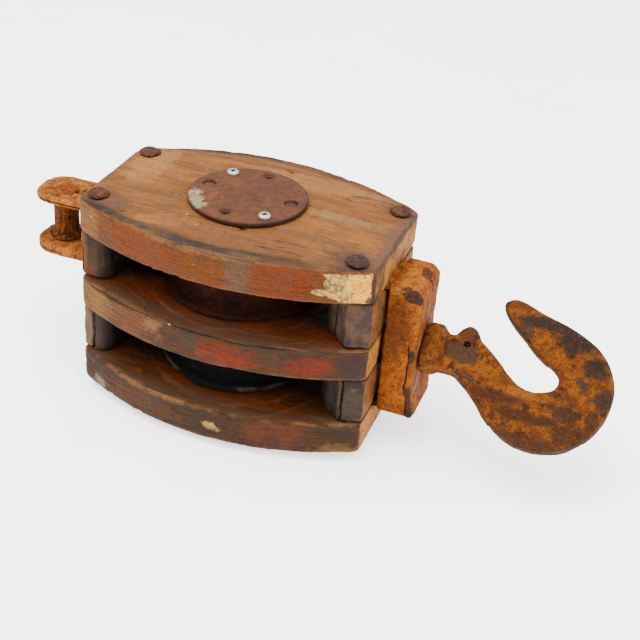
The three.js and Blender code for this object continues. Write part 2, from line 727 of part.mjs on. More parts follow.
UPPER_SCREWS.forEach((place, index) => {
  const [x, y] = polar(place);
  const head = turned([
    [0, SHELL_TOP - SCREW_L + OVER],
    [SCREW_R, SHELL_TOP - SCREW_L + 2 * SCREW_R],
    [SCREW_R, STACK_TOP],
    [PAN_R, STACK_TOP],
    [PAN_R, STACK_TOP + PAN_H / 2],
    [PAN_R - 1, STACK_TOP + PAN_H - GAP],
    [0, STACK_TOP + PAN_H],
  ], x, y, SMALL_ROUND);
  const slots = [[CROSS_SLOT_L, CROSS_SLOT_W], [CROSS_SLOT_W, CROSS_SLOT_L]].map(([a, b]) => block(
    x - a / 2, x + a / 2, y - b / 2, y + b / 2, STACK_TOP + PAN_H - CROSS_SLOT_DEEP, STACK_TOP + PAN_H + OVER,
  ));
  add("plate_screw_" + (index + 1), cut(head, slots), ...ZINC);
});

LOWER_SCREWS.forEach((place, index) => {
  const [x, y] = polar(place);
  const slope = SINK_DEEP / (SINK_R - SCREW_HOLE_R);
  const screw = turned([
    [0, GAP],
    [SINK_R - GAP, GAP],
    [SCREW_R, GAP + (SINK_R - GAP - SCREW_R) * slope],
    [SCREW_R, PLATE_T + SCREW_L - 2 * SCREW_R],
    [0, PLATE_T + SCREW_L - OVER],
  ], x, y, SMALL_ROUND);
  const slot = block(x - SINK_R, x + SINK_R, y - CROSS_SLOT_W / 2, y + CROSS_SLOT_W / 2, -OVER, GAP + 1);
  add("lower_plate_screw_" + (index + 1), screw.subtract(slot), ...IRON);
});

export default part;
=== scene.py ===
import json
import math

import bmesh
import bpy
import numpy as np
from mathutils import Matrix, Vector


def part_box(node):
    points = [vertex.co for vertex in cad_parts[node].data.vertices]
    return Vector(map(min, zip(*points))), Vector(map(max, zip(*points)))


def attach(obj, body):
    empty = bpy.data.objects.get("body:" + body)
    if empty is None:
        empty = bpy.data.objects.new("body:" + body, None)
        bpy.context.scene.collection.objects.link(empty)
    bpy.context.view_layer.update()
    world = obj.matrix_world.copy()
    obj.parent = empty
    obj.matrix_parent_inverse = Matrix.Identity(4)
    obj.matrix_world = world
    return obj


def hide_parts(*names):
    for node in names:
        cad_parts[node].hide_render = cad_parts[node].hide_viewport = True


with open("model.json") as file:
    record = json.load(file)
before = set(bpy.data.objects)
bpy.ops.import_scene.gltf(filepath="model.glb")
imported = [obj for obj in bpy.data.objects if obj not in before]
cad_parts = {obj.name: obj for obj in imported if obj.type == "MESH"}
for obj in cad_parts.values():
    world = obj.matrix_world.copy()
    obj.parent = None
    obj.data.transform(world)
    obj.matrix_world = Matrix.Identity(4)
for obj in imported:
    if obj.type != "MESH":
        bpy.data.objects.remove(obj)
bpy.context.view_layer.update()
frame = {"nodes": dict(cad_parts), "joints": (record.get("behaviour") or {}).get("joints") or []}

METRE = 1000.0
COARSE = 1.0

RNG = np.random.default_rng(1907)
LATTICE = 256
SHUFFLE = RNG.permutation(LATTICE)
DIRECTIONS = RNG.normal(size=(LATTICE, 3))
DIRECTIONS /= np.linalg.norm(DIRECTIONS, axis=1)[:, None]


def low_high(node):
    """A CAD node's lowest and highest corner, in millimetres."""
    low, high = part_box(node)
    return np.array(low) * METRE, np.array(high) * METRE


# The places that wear and paint are worked out from.
UPPER_CHEEK = low_high("upper_cheek")
CROSSHEAD = low_high("crosshead")
PLATE = low_high("upper_cover_plate")
TAIL_X = UPPER_CHEEK[0][0]
HOOK_X = UPPER_CHEEK[1][0]
SIDE_Y = UPPER_CHEEK[1][1]
SHEAVE_R = low_high("upper_sheave")[1][0]
END_Y = low_high("upper_hook_spacer")[1][1]
CHEEK_CURVE = (SIDE_Y - END_Y) / ((HOOK_X - TAIL_X) / 2) ** 2  # the cheeks' sides bow out like a parabola


# ---------------------------------------------------------------- shape tools


def smooth(low, high, value):
    """0 below low, 1 above high and an S between them; low may be the larger."""
    t = np.clip((value - low) / (high - low), 0, 1)
    return t * t * (3 - 2 * t)


def noise(points, size, seed=0):
    """Gradient noise from about -1 to 1. size is a swell's length, one number or one along each axis."""
    p = points / np.broadcast_to(size, 3) + np.array([17.3, 5.1, 9.7]) * (seed + 1)
    cell = np.floor(p).astype(int)
    part = p - cell
    fade = part**3 * (part * (part * 6 - 15) + 10)
    total = np.zeros(len(p))
    for corner in np.ndindex(2, 2, 2):
        at = (cell + corner) % LATTICE
        pick = SHUFFLE[(SHUFFLE[(SHUFFLE[at[:, 0]] + at[:, 1]) % LATTICE] + at[:, 2]) % LATTICE]
        slope = np.einsum("ij,ij->i", DIRECTIONS[pick], part - corner)
        weight = np.prod(np.where(corner, fade, 1 - fade), axis=1)
        total += slope * weight
    return total * 1.6


def rough(points, size, octaves=3, seed=0):
    """Noise at several sizes, each half as large and half as strong as the one before."""
    size = np.broadcast_to(size, 3)
    return sum(noise(points, size / 2**k, seed + k) / 2**k for k in range(octaves))


class Surface:
    """A finely meshed copy of a CAD node, held as arrays of points in millimetres."""

    def __init__(self, node, voxel):
        self.node = node
        source = bpy.data.objects.new(node + "_source", frame["nodes"][node].data.copy())
        bpy.context.scene.collection.objects.link(source)
        source.data.materials.clear()
        shell = bmesh.new()
        shell.from_mesh(source.data)
        bmesh.ops.remove_doubles(shell, verts=shell.verts, dist=1e-6)
        shell.to_mesh(source.data)
        shell.free()
        remesh = source.modifiers.new("fine", "REMESH")
        remesh.mode = "VOXEL"
        remesh.voxel_size = voxel * COARSE / METRE
        graph = bpy.context.evaluated_depsgraph_get()
        self.mesh = bpy.data.meshes.new_from_object(source.evaluated_get(graph))
        bpy.data.objects.remove(source)
        count = len(self.mesh.vertices)
        flat = np.empty(count * 3)
        self.mesh.vertices.foreach_get("co", flat)
        self.points = flat.reshape(-1, 3) * METRE
        ends = np.empty(len(self.mesh.edges) * 2, int)
        self.mesh.edges.foreach_get("vertices", ends)
        self.ends = ends.reshape(-1, 2)
        self.degree = np.bincount(ends, minlength=count)
        self.marks = {}
        self.voxel = voxel * COARSE

    def spread(self, values):
        """The mean of each point's neighbours."""
        a, b = self.ends.T
        count = len(self.degree)
        columns = [
            np.bincount(a, v[b], count) + np.bincount(b, v[a], count) for v in np.atleast_2d(values.T)
        ]
        return (np.array(columns) / self.degree).T.reshape(values.shape)

    def relaxed(self, radius, start=None):
        """The points after the edges are rounded to about that radius."""
        points = self.points if start is None else start
        for _ in range(max(1, round(2 * (radius / self.voxel) ** 2))):
            points = points + 0.6 * (self.spread(points) - points)
        return points

    def normals(self):
        self.mesh.vertices.foreach_set("co", (self.points / METRE).ravel())
        self.mesh.update()
        flat = np.empty(len(self.points) * 3)
        self.mesh.vertex_normals.foreach_get("vector", flat)
        return flat.reshape(-1, 3)

    def push(self, amount):
        """Moves each point along its normal, outwards where amount is above 0."""
        self.points = self.points + self.normals() * amount[:, None]

    def wear(self, sharp, blunt, where):
        """Rounds the edges from radius sharp, where `where` is 0, to radius blunt, where it is 1.
        Marks `edge` and `hollow` say how much each point stands out or lies back."""
        crisp = self.relaxed(sharp)
        soft = self.relaxed(blunt, crisp)
        self.points = crisp
        stand = np.einsum("ij,ij->i", crisp - soft, self.normals())
        self.marks["edge"] = smooth(0.1, 0.3 * blunt, stand)
        self.marks["hollow"] = smooth(0.1, 0.3 * blunt, -stand)
        share = where(crisp) if callable(where) else np.full(len(crisp), where)
        self.points = crisp + (soft - crisp) * np.clip(share, 0, 1)[:, None]

    def piece(self, material, body):
        """The finished piece, which stands for its CAD node."""
        self.mesh.vertices.foreach_set("co", (self.points / METRE).ravel())
        for name, values in self.marks.items():
            mark = self.mesh.attributes.new(name, "FLOAT", "POINT")
            mark.data.foreach_set("value", np.clip(values, 0, 1).astype(np.float32))
        self.mesh.polygons.foreach_set("use_smooth", np.ones(len(self.mesh.polygons), bool))
        self.mesh.materials.clear()
        self.mesh.materials.append(material)
        self.mesh.update()
        obj = bpy.data.objects.new(self.node + "_worn", self.mesh)
        bpy.context.scene.collection.objects.link(obj)
        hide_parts(self.node)
        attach(obj, body)
        return obj


# ------------------------------------------------------------- material tools


HOOK_POINT = np.array([216.0, 27.0, 127.0])  # the hook's tip
STUDIO_LIGHT = 3.1  # how many times brighter than its own colour a lit face comes out
DEEPEN = 1.12  # the view softens strong colours, so they are mixed a little stronger


def tone(red, green, blue):
    """The surface colour that looks like this screen colour, 0 to 255, under the studio light."""
    screen = np.array([red, green, blue]) / 255
    light = np.where(screen <= 0.04, screen / 12.92, ((screen + 0.055) / 1.055) ** 2.4)
    light = light * (1 + 1.2 * light**2)
    light = light.mean() + (light - light.mean()) * DEEPEN
    return tuple(float(c) for c in np.clip(light / STUDIO_LIGHT, 0.001, 0.92))


class Paint:
    """A procedural material. Each method adds a node and returns its output."""

    def __init__(self, name):
        self.material = bpy.data.materials.new(name)
        self.material.use_nodes = True
        self.nodes = self.material.node_tree.nodes
        self.links = self.material.node_tree.links
        self.shader = self.nodes["Principled BSDF"]
        place = self.nodes.new("ShaderNodeTexCoord").outputs["Object"]
        self.place = self.vector("SCALE", place, METRE)  # in millimetres
        split = self.nodes.new("ShaderNodeSeparateXYZ")
        self.links.new(self.place, split.inputs[0])
        self.x, self.y, self.z = split.outputs

    def feed(self, socket, value):
        if isinstance(value, bpy.types.NodeSocket):
            self.links.new(value, socket)
        elif socket.type == "RGBA":
            socket.default_value = (*value, 1.0)
        else:
            socket.default_value = value

    def vector(self, operation, a, b):
        node = self.nodes.new("ShaderNodeVectorMath")
        node.operation = operation
        self.feed(node.inputs[0], a)
        self.feed(node.inputs["Scale"] if operation == "SCALE" else node.inputs[1], b)
        return node.outputs["Value" if operation in ("LENGTH", "DOT_PRODUCT") else "Vector"]

    def math(self, operation, a, b=0.0):
        node = self.nodes.new("ShaderNodeMath")
        node.operation = operation
        self.feed(node.inputs[0], a)
        self.feed(node.inputs[1], b)
        return node.outputs[0]

    def both(self, a, b):
        return self.math("MULTIPLY", a, b)

    def plus(self, a, b):
        return self.math("ADD", a, b)

    def most(self, a, b):
        return self.math("MAXIMUM", a, b)

    def noise(self, size, detail=3.0, gain=0.55, shift=0.0, warp=0.0):
        """Noise about 0.5, with swells of that size along each axis."""
        at = self.vector("MULTIPLY", self.place, tuple(1 / s for s in np.broadcast_to(size, 3)))
        if shift:
            at = self.vector("ADD", at, (shift, shift * 1.7, shift * 0.6))
        node = self.nodes.new("ShaderNodeTexNoise")
        self.feed(node.inputs["Vector"], at)
        node.inputs["Scale"].default_value = 1.0
        node.inputs["Detail"].default_value = detail
        node.inputs["Roughness"].default_value = gain
        node.inputs["Distortion"].default_value = warp
        return node.outputs[0]

    def cells(self, size, shift=0.0):
        """Distance to the nearest of scattered points, 0 at a point."""
        at = self.vector("SCALE", self.place, 1 / size)
        at = self.vector("ADD", at, (shift, shift, shift))
        node = self.nodes.new("ShaderNodeTexVoronoi")
        node.inputs["Scale"].default_value = 1.0
        self.feed(node.inputs["Vector"], at)
        return node.outputs["Distance"]

    def range(self, value, low, high, top=1.0, bottom=0.0):
        """value from low to high becomes bottom to top, with an S between; low may be the larger."""
        node = self.nodes.new("ShaderNodeMapRange")
        node.interpolation_type = "SMOOTHSTEP"
        if low > high:
            low, high, bottom, top = high, low, top, bottom
        for socket, number in zip(node.inputs[1:5], (low, high, bottom, top)):
            socket.default_value = number
        self.feed(node.inputs[0], value)
        return node.outputs[0]

    def mix(self, share, a, b, how="MIX"):
        node = self.nodes.new("ShaderNodeMix")
        node.data_type = "RGBA"
        node.blend_type = how
        self.feed(node.inputs[0], share)
        self.feed(node.inputs[6], a)
        self.feed(node.inputs[7], b)
        return node.outputs[2]

    def coats(self, colour, *coats):
        """colour under each of the coats in turn, which are (share, colour) pairs."""
        for share, shade in coats:
            colour = self.mix(share, colour, shade)
        return colour

    def mark(self, name, share=1.0):
        node = self.nodes.new("ShaderNodeAttribute")
        node.attribute_name = name
        return node.outputs["Fac"] if share == 1.0 else self.both(node.outputs["Fac"], share)

    def swells(self, low, high, size, detail=3.0, gain=0.55, shift=0.0, top=1.0):
        """Soft patches: 0 where the noise is at low, top where it is at high."""
        return self.range(self.noise(size, detail, gain, shift), low, high, top)

    def wander(self, reach, size, detail, gain, shift):
        """Noise about 0 that strays by up to about half of `reach`."""
        return self.both(self.math("SUBTRACT", self.noise(size, detail, gain, shift), 0.5), reach)

    def patch(self, centre, half, ragged=0.35, grain=6.0, edge=0.12, shift=0.0):
        """1 inside an ellipsoid of those half sizes, with a ragged outline."""
        away = self.vector("SUBTRACT", self.place, tuple(centre))
        away = self.vector("MULTIPLY", away, tuple(1 / h for h in half))
        reach = self.vector("LENGTH", away, (0, 0, 0))
        reach = self.plus(reach, self.wander(4 * ragged, grain, 4.0, 0.65, shift + 3.3))
        return self.range(reach, 1 + edge, 1 - edge)

    def block(self, low, high, ragged=1.0, grain=5.0, edge=0.5, shift=0.0):
        """1 inside a box, with an outline that wanders by about `ragged` millimetres."""
        outside = self.wander(6 * ragged, grain, 4.0, 0.6, shift + 5.7)
        far = None
        for at, a, b in zip((self.x, self.y, self.z), low, high):
            away = self.math("ABSOLUTE", self.math("SUBTRACT", at, (a + b) / 2))
            reach = self.math("SUBTRACT", away, (b - a) / 2)
            far = reach if far is None else self.most(far, reach)
        return self.range(self.plus(far, outside), edge, -edge)

    def speckle(self, colour, size, share, shift=0.0):
        """colour with fine darker grains."""
        grains = self.range(self.noise(size, 3.0, 0.7, shift=shift + 21), 0.5, 0.66, share)
        return self.mix(grains, colour, (0.25, 0.2, 0.17), "MULTIPLY")

    def specks(self, spacing, size, shift=0.0):
        """1 on a few small ragged flecks."""
        near = self.plus(self.cells(spacing, shift), self.both(self.noise(2.0, 3.0, shift=shift), 0.3))
        kept = self.range(self.noise(31.0, 2.0, shift=shift + 9), 0.52, 0.6)
        return self.both(self.range(near, 0.16 + size / spacing, 0.13 + size / spacing), kept)

    def bump(self, height, depth, under=None):
        node = self.nodes.new("ShaderNodeBump")
        node.inputs["Strength"].default_value = 1.0
        node.inputs["Distance"].default_value = depth / METRE
        self.feed(node.inputs["Height"], height)
        if under:
            self.links.new(under, node.inputs["Normal"])
        return node.outputs[0]

    def finish(self, colour, roughness, normal, metallic=0.0, gloss=0.12):
        self.feed(self.shader.inputs["Base Color"], colour)
        self.feed(self.shader.inputs["Roughness"], roughness)
        self.feed(self.shader.inputs["Metallic"], metallic)
        self.links.new(normal, self.shader.inputs["Normal"])
        self.shader.inputs["Specular IOR Level"].default_value = gloss
        return self.material


# ---------------------------------------------------------------------- wood

GRAIN = (75.0, 1.5, 1.5)  # fibres run along X
RING_AXIS_DROP = 140.0  # the log's heart lies that far under the boards


def wood_fibres(paint, shift):
    """(rings, fibres): broad growth rings and fine fibres, both running along X, from 0 to 1."""
    wander = paint.noise((140, 35, 35), 2.0, shift=shift)
    across = paint.vector("MULTIPLY", paint.place, (0.02, 1.0, 1.0))
    away = paint.vector("ADD", across, (0.0, 24.0 * shift, RING_AXIS_DROP))
    depth = paint.vector("LENGTH", away, (0, 0, 0))
    depth = paint.plus(depth, paint.both(wander, 26.0))
    rings = paint.math("SINE", paint.both(depth, 2 * math.pi / 5.5))
    rings = paint.range(rings, -1.0, 1.0)
    fibres = paint.noise(GRAIN, 4.0, 0.6, shift + 1)
    return rings, fibres


def weathered_wood(name, shift, top, side, slot_face, patches=(), top_patches=()):
    """Old oak. top, side and slot_face are pairs of screen colours, light and dark. patches are laid over
    the sides and top_patches over the big faces: (centre, half sizes, colour, raggedness, share)."""
    paint = Paint(name)
    rings, fibres = wood_fibres(paint, shift)
    streak = paint.range(fibres, 0.33, 0.68)
    broad = paint.swells(0.35, 0.66, (95, 26, 26), 3.0, shift=shift + 2)
    grime = paint.noise((34, 9, 9), 5.0, 0.62, shift + 4)
    blotch = paint.noise((16, 10, 10), 4.0, 0.6, shift + 5)
    grain_mix = paint.plus(paint.both(streak, 0.65), paint.both(rings, 0.35))

    def wooden(pair):
        light, dark = (tone(*shade) for shade in pair)
        return paint.mix(paint.both(broad, 0.45), paint.mix(grain_mix, dark, light), dark)

    # bare weathered wood on the big faces
    grey = paint.range(grime, 0.52, 0.72)
    warm = paint.swells(0.5, 0.64, (70, 13, 13), 4.0, 0.6, shift + 13, top=0.55)
    warmth = paint.mix(streak, (0.75, 0.62, 0.5), (1.0, 0.88, 0.68))
    colour = paint.mix(warm, wooden(top), warmth, "MULTIPLY")
    colour = paint.mix(paint.both(grey, 0.6), colour, tone(112, 88, 62))
    lines = paint.noise((60, 0.8, 0.8), 3.0, 0.65, shift + 14)
    colour = paint.mix(paint.range(lines, 0.52, 0.66, 0.7), colour, (0.58, 0.5, 0.44), "MULTIPLY")
    for centre, half, shade, ragged, share in top_patches:
        spot = paint.patch(centre, half, ragged, 9.0, 0.35, shift=shift)
        spot = paint.both(spot, paint.range(fibres, 0.3, 0.55, share, 0.45 * share))
        colour = paint.mix(spot, colour, tone(*shade))

    # worn paint and stain on the sides
    light, dark = (tone(*shade) for shade in side)
    worn = paint.mix(paint.range(blotch, 0.3, 0.7), dark, light)
    worn = paint.mix(paint.both(paint.range(fibres, 0.55, 0.75), 0.5), worn, dark)
    scuffs = paint.noise((22, 22, 1.6), 4.0, 0.7, shift + 6)
    worn = paint.mix(paint.range(scuffs, 0.6, 0.74, 0.35), worn, tone(146, 110, 76))
    scratches = paint.swells(0.36, 0.52, (14, 14, 0.9), 4.0, 0.7, shift + 12)
    for centre, half, shade, ragged, share in patches:
        spot = paint.patch(centre, half, ragged, 7.0, 0.4, shift=shift + 1)
        spot = paint.both(spot, paint.range(blotch, 0.3, 0.55, share, 0.4 * share))
        spot = paint.both(spot, paint.range(scratches, 0.0, 1.0, 1.0, 0.45))
        worn = paint.mix(spot, worn, tone(*shade))
    lines = paint.noise((34, 34, 0.9), 4.0, 0.7, shift + 15)
    worn = paint.mix(paint.range(lines, 0.5, 0.64, 0.85), worn, (0.5, 0.42, 0.38), "MULTIPLY")
    rubs = paint.noise((20, 20, 2.4), 5.0, 0.7, shift + 16)
    worn = paint.mix(paint.range(rubs, 0.56, 0.68, 0.4), worn, (1.45, 1.35, 1.2), "MULTIPLY")
    worn = paint.speckle(worn, 1.6, 0.6, shift)
    colour = paint.mix(paint.range(paint.mark("side"), 0.35, 0.6), colour, worn)

    # the faces inside the slots: varnish-brown and stained, with painted shade near black far inside and a
    # pale rope-polished ridge that is partly a painted highlight
    stain = paint.swells(0.46, 0.62, (40, 15, 12), 4.0, 0.6, shift + 8)
    lip_grey = paint.both(paint.mark("lip"), paint.range(grime, 0.4, 0.6, 0.9, 0.5))
    between = paint.both(paint.range(paint.mark("lip"), 0.5, 0.1), paint.range(paint.mark("deep"), 0.5, 0.15))
    inside = paint.coats(
        wooden(slot_face),
        (paint.both(stain, 0.7), tone(112, 52, 20)),
        # pale ridge: rope polish, partly a painted highlight on the wavy lip
        (paint.mark("ridge", 0.6), tone(150, 104, 74)),
        (lip_grey, tone(98, 72, 54)),
        (paint.both(between, paint.range(stain, 0.2, 0.8, 0.6, 0.15)), tone(142, 70, 22)),
        # painted shade: near black far inside the slot, where little light reaches
        (paint.range(paint.mark("deep"), 0.0, 1.0, 0.7), tone(34, 16, 9)),
    )
    colour = paint.mix(paint.mark("slot_face"), colour, inside)

    # end grain
    ends = paint.noise((9, 1.6, 14), 4.0, 0.6, shift + 9)
    dirt = paint.swells(0.5, 0.66, (20, 16, 22), 4.0, 0.65, shift + 10, top=0.8)
    frame_band = paint.both(paint.mark("end_band"), paint.range(grime, 0.3, 0.5, 0.95, 0.7))
    end_colour = paint.coats(
        paint.mix(paint.range(ends, 0.35, 0.65), tone(164, 110, 54), tone(214, 164, 92)),
        (dirt, tone(98, 72, 58)),
        (frame_band, tone(86, 64, 54)),
    )
    colour = paint.mix(paint.mark("end"), colour, end_colour)

    # grime on the blunted edges, darker hollows and dark cracks
    band = paint.both(paint.mark("band"), paint.range(grime, 0.24, 0.5, 1.0, 0.35))
    soot = paint.mix(paint.range(grime, 0.4, 0.6), tone(88, 72, 58), tone(54, 46, 42))
    rub = paint.both(paint.mark("edge"), paint.range(blotch, 0.42, 0.62))
    rub = paint.both(rub, paint.range(paint.mark("band"), 0.6, 0.1))
    colour = paint.coats(
        colour,
        (paint.both(band, 0.9), soot),
        (paint.both(rub, 0.6), tone(164, 122, 82)),
        (paint.mark("hollow", 0.8), tone(44, 34, 28)),
        (paint.range(paint.mark("crack"), 0.2, 0.8, 0.92), tone(30, 22, 16)),
        (paint.both(paint.specks(17.0, 0.7, shift), 0.8), tone(214, 190, 158)),
        (paint.swells(0.62, 0.72, (9, 0.9, 0.9), 3.0, 0.6, shift + 11, top=0.5), tone(62, 42, 26)),
    )

    height = paint.plus(paint.both(fibres, 1.0), paint.both(rings, 0.25))
    relief = paint.bump(height, 0.9)
    relief = paint.bump(blotch, 0.8, relief)
    relief = paint.bump(scratches, 0.12, relief)
    relief = paint.bump(paint.noise(1.1, 3.0), 0.2, relief)
    roughness = paint.range(blotch, 0.3, 0.7, 0.86, 0.62)
    return paint, colour, roughness, relief


def cracks(points, size, threshold, width, seed):
    """1 along a few long splits that follow the grain."""
    field = noise(points, size, seed)
    kept = smooth(threshold, threshold + 0.1, noise(points, np.array(size) * (0.8, 3, 3), seed + 7))
    return smooth(width, width * 0.3, np.abs(field)) * kept


def worn_cheek(node, voxel, seed, material, outer_face, split_side=False):
    """One oak cheek. outer_face is +1 or -1 for the face that shows at the top or bottom, 0 for neither.
    split_side opens a long split under the top edge of the near side."""
    low, high = low_high(node)
    s = Surface(node, voxel)

    def blunted(p):
        if not outer_face:
            return 0.35 + 0.5 * noise(p, (34, 20, 14), seed)
        face_z = high[2] if outer_face > 0 else low[2]
        near_face = smooth(16, 5, np.abs(p[:, 2] - face_z))
        corner = smooth(22, 8, np.minimum(p[:, 0] - low[0], high[0] - p[:, 0]))
        return 0.15 + 0.7 * near_face * (1 - 0.7 * corner) + 0.4 * noise(p, (34, 20, 14), seed) * (1 - corner)

    s.wear(1.1, 4.2, blunted)
    p = s.points
    n = s.normals()
    up = np.abs(n[:, 2])
    end = smooth(0.8, 0.93, np.abs(n[:, 0]))
    inner = []
    if outer_face >= 0:
        inner.append(smooth(low[2] + 1.6, low[2] + 0.6, p[:, 2]))
    if outer_face <= 0:
        inner.append(smooth(high[2] - 1.6, high[2] - 0.6, p[:, 2]))
    slot_face = np.clip(sum(inner), 0, 1) * smooth(0.5, 0.8, up)
    away = np.hypot(p[:, 0], p[:, 1])

    # rope-worn hollows beside the sheave, with a wavy lip
    wave = noise(p, (34, 22, 60), seed + 3)
    reach = away - SHEAVE_R - 13 - 9 * wave
    scoop = smooth(26, 4, np.abs(reach - 6)) * smooth(SHEAVE_R, SHEAVE_R + 10, away)
    lip = smooth(3.4, 0.4, np.abs(reach + 5)) + 0.7 * smooth(2.4, 0.4, np.abs(reach - 13))
    s.marks["slot_face"] = slot_face
    # the ridge mark paints the rope-worn lip pale, partly as a painted highlight
    s.marks["ridge"] = slot_face * lip * smooth(-0.35, 0.4, noise(p, (26, 18, 18), seed + 5))

    splits = 0.7 * cracks(p, (120, 7.5, 7.5), 0.34, 0.06, seed + 11)
    splits = np.maximum(splits, 0.7 * cracks(p, (60, 5, 5), 0.42, 0.08, seed + 17))
    end_splits = cracks(p[:, [2, 1, 0]], (60, 6, 30), 0.1, 0.06, seed + 19) * end
    crack = splits * (1 - slot_face) * (0.4 + 0.6 * up) + end_splits
    if split_side:
        split_z = high[2] - 3.2 - 1.1 * noise(p, (46, 90, 90), seed + 13)
        along = smooth(-118, -108, p[:, 0]) * smooth(92, 60, p[:, 0]) * smooth(-20, -40, p[:, 1])
        along *= smooth(-0.62, -0.42, noise(p, (24, 60, 60), seed + 14))
        crack = crack + 0.9 * smooth(0.8, 0.3, np.abs(p[:, 2] - split_z)) * along * smooth(0.9, 0.7, up)
    crack = np.clip(crack, 0, 1)
    fibre = noise(p, (70, 3.6, 3.6), seed + 1) + 0.6 * noise(p, (40, 2.0, 2.0), seed + 2)
    swell = noise(p, (80, 34, 30), seed + 4)
    dents = np.maximum(0, noise(p, (13, 10, 10), seed + 6) - 0.42)
    gouges = np.maximum(0, noise(p, (9, 9, 6), seed + 8) - 0.4) * s.marks["edge"]
    move = 0.17 * fibre * (1 - 0.6 * slot_face) + 0.45 * swell - 0.25 - 1.5 * dents - 3.0 * gouges
    move -= 1.25 * crack
    move += slot_face * (-1.5 * scoop + 0.9 * lip * smooth(SHEAVE_R + 3, SHEAVE_R + 9, away) - 0.3)
    s.push(np.minimum(move, 0.35))
    s.marks["crack"] = crack
    s.marks["side"] = smooth(0.75, 0.4, up) * (1 - end)
    s.marks["end"] = end
    face_z = high[2] if outer_face > 0 else (low[2] if outer_face < 0 else 1e3)
    level = np.abs(p[:, 2] - (face_z if outer_face else high[2]))
    edge_reach = 15 if outer_face > 0 else 6
    rim_wave = noise(p, (50, 30, 30), seed + 9)
    outline = SIDE_Y - np.abs(p[:, 1]) - CHEEK_CURVE * (p[:, 0] - (HOOK_X + TAIL_X) / 2) ** 2
    # painted shade mask: far into the slot, away from the cheek's outline
    s.marks["deep"] = smooth(34, 70, outline + 10 * noise(p, 40, seed + 10)) * slot_face
    s.marks["lip"] = smooth(24, 8, outline + 9 * noise(p, (60, 16, 16), seed + 15)) * slot_face
    top_band = smooth(edge_reach, 0.55 * edge_reach, outline - 3 * rim_wave) * smooth(0.5, 0.8, up)
    if outer_face > 0:
        top_band *= smooth(-3.0, 1.0, outline + 2.0 * rim_wave)
        top_band *= 0.5 + 0.5 * smooth(120, 30, p[:, 0] + 30 * rim_wave)
    side_band = smooth(5 + 3 * rim_wave, 1.5, level) * smooth(0.6, 0.3, up)
    rim_gap = np.minimum(level, END_Y - np.abs(p[:, 1]) - 1)
    s.marks["end_band"] = end * smooth(9 + 5 * noise(p, 12, seed + 12), 5, rim_gap) * (outer_face > 0)
    s.marks["band"] = np.clip((top_band + side_band) * (1 - 0.8 * end) * (1 - slot_face), 0, 1)
    s.piece(material, "shell")


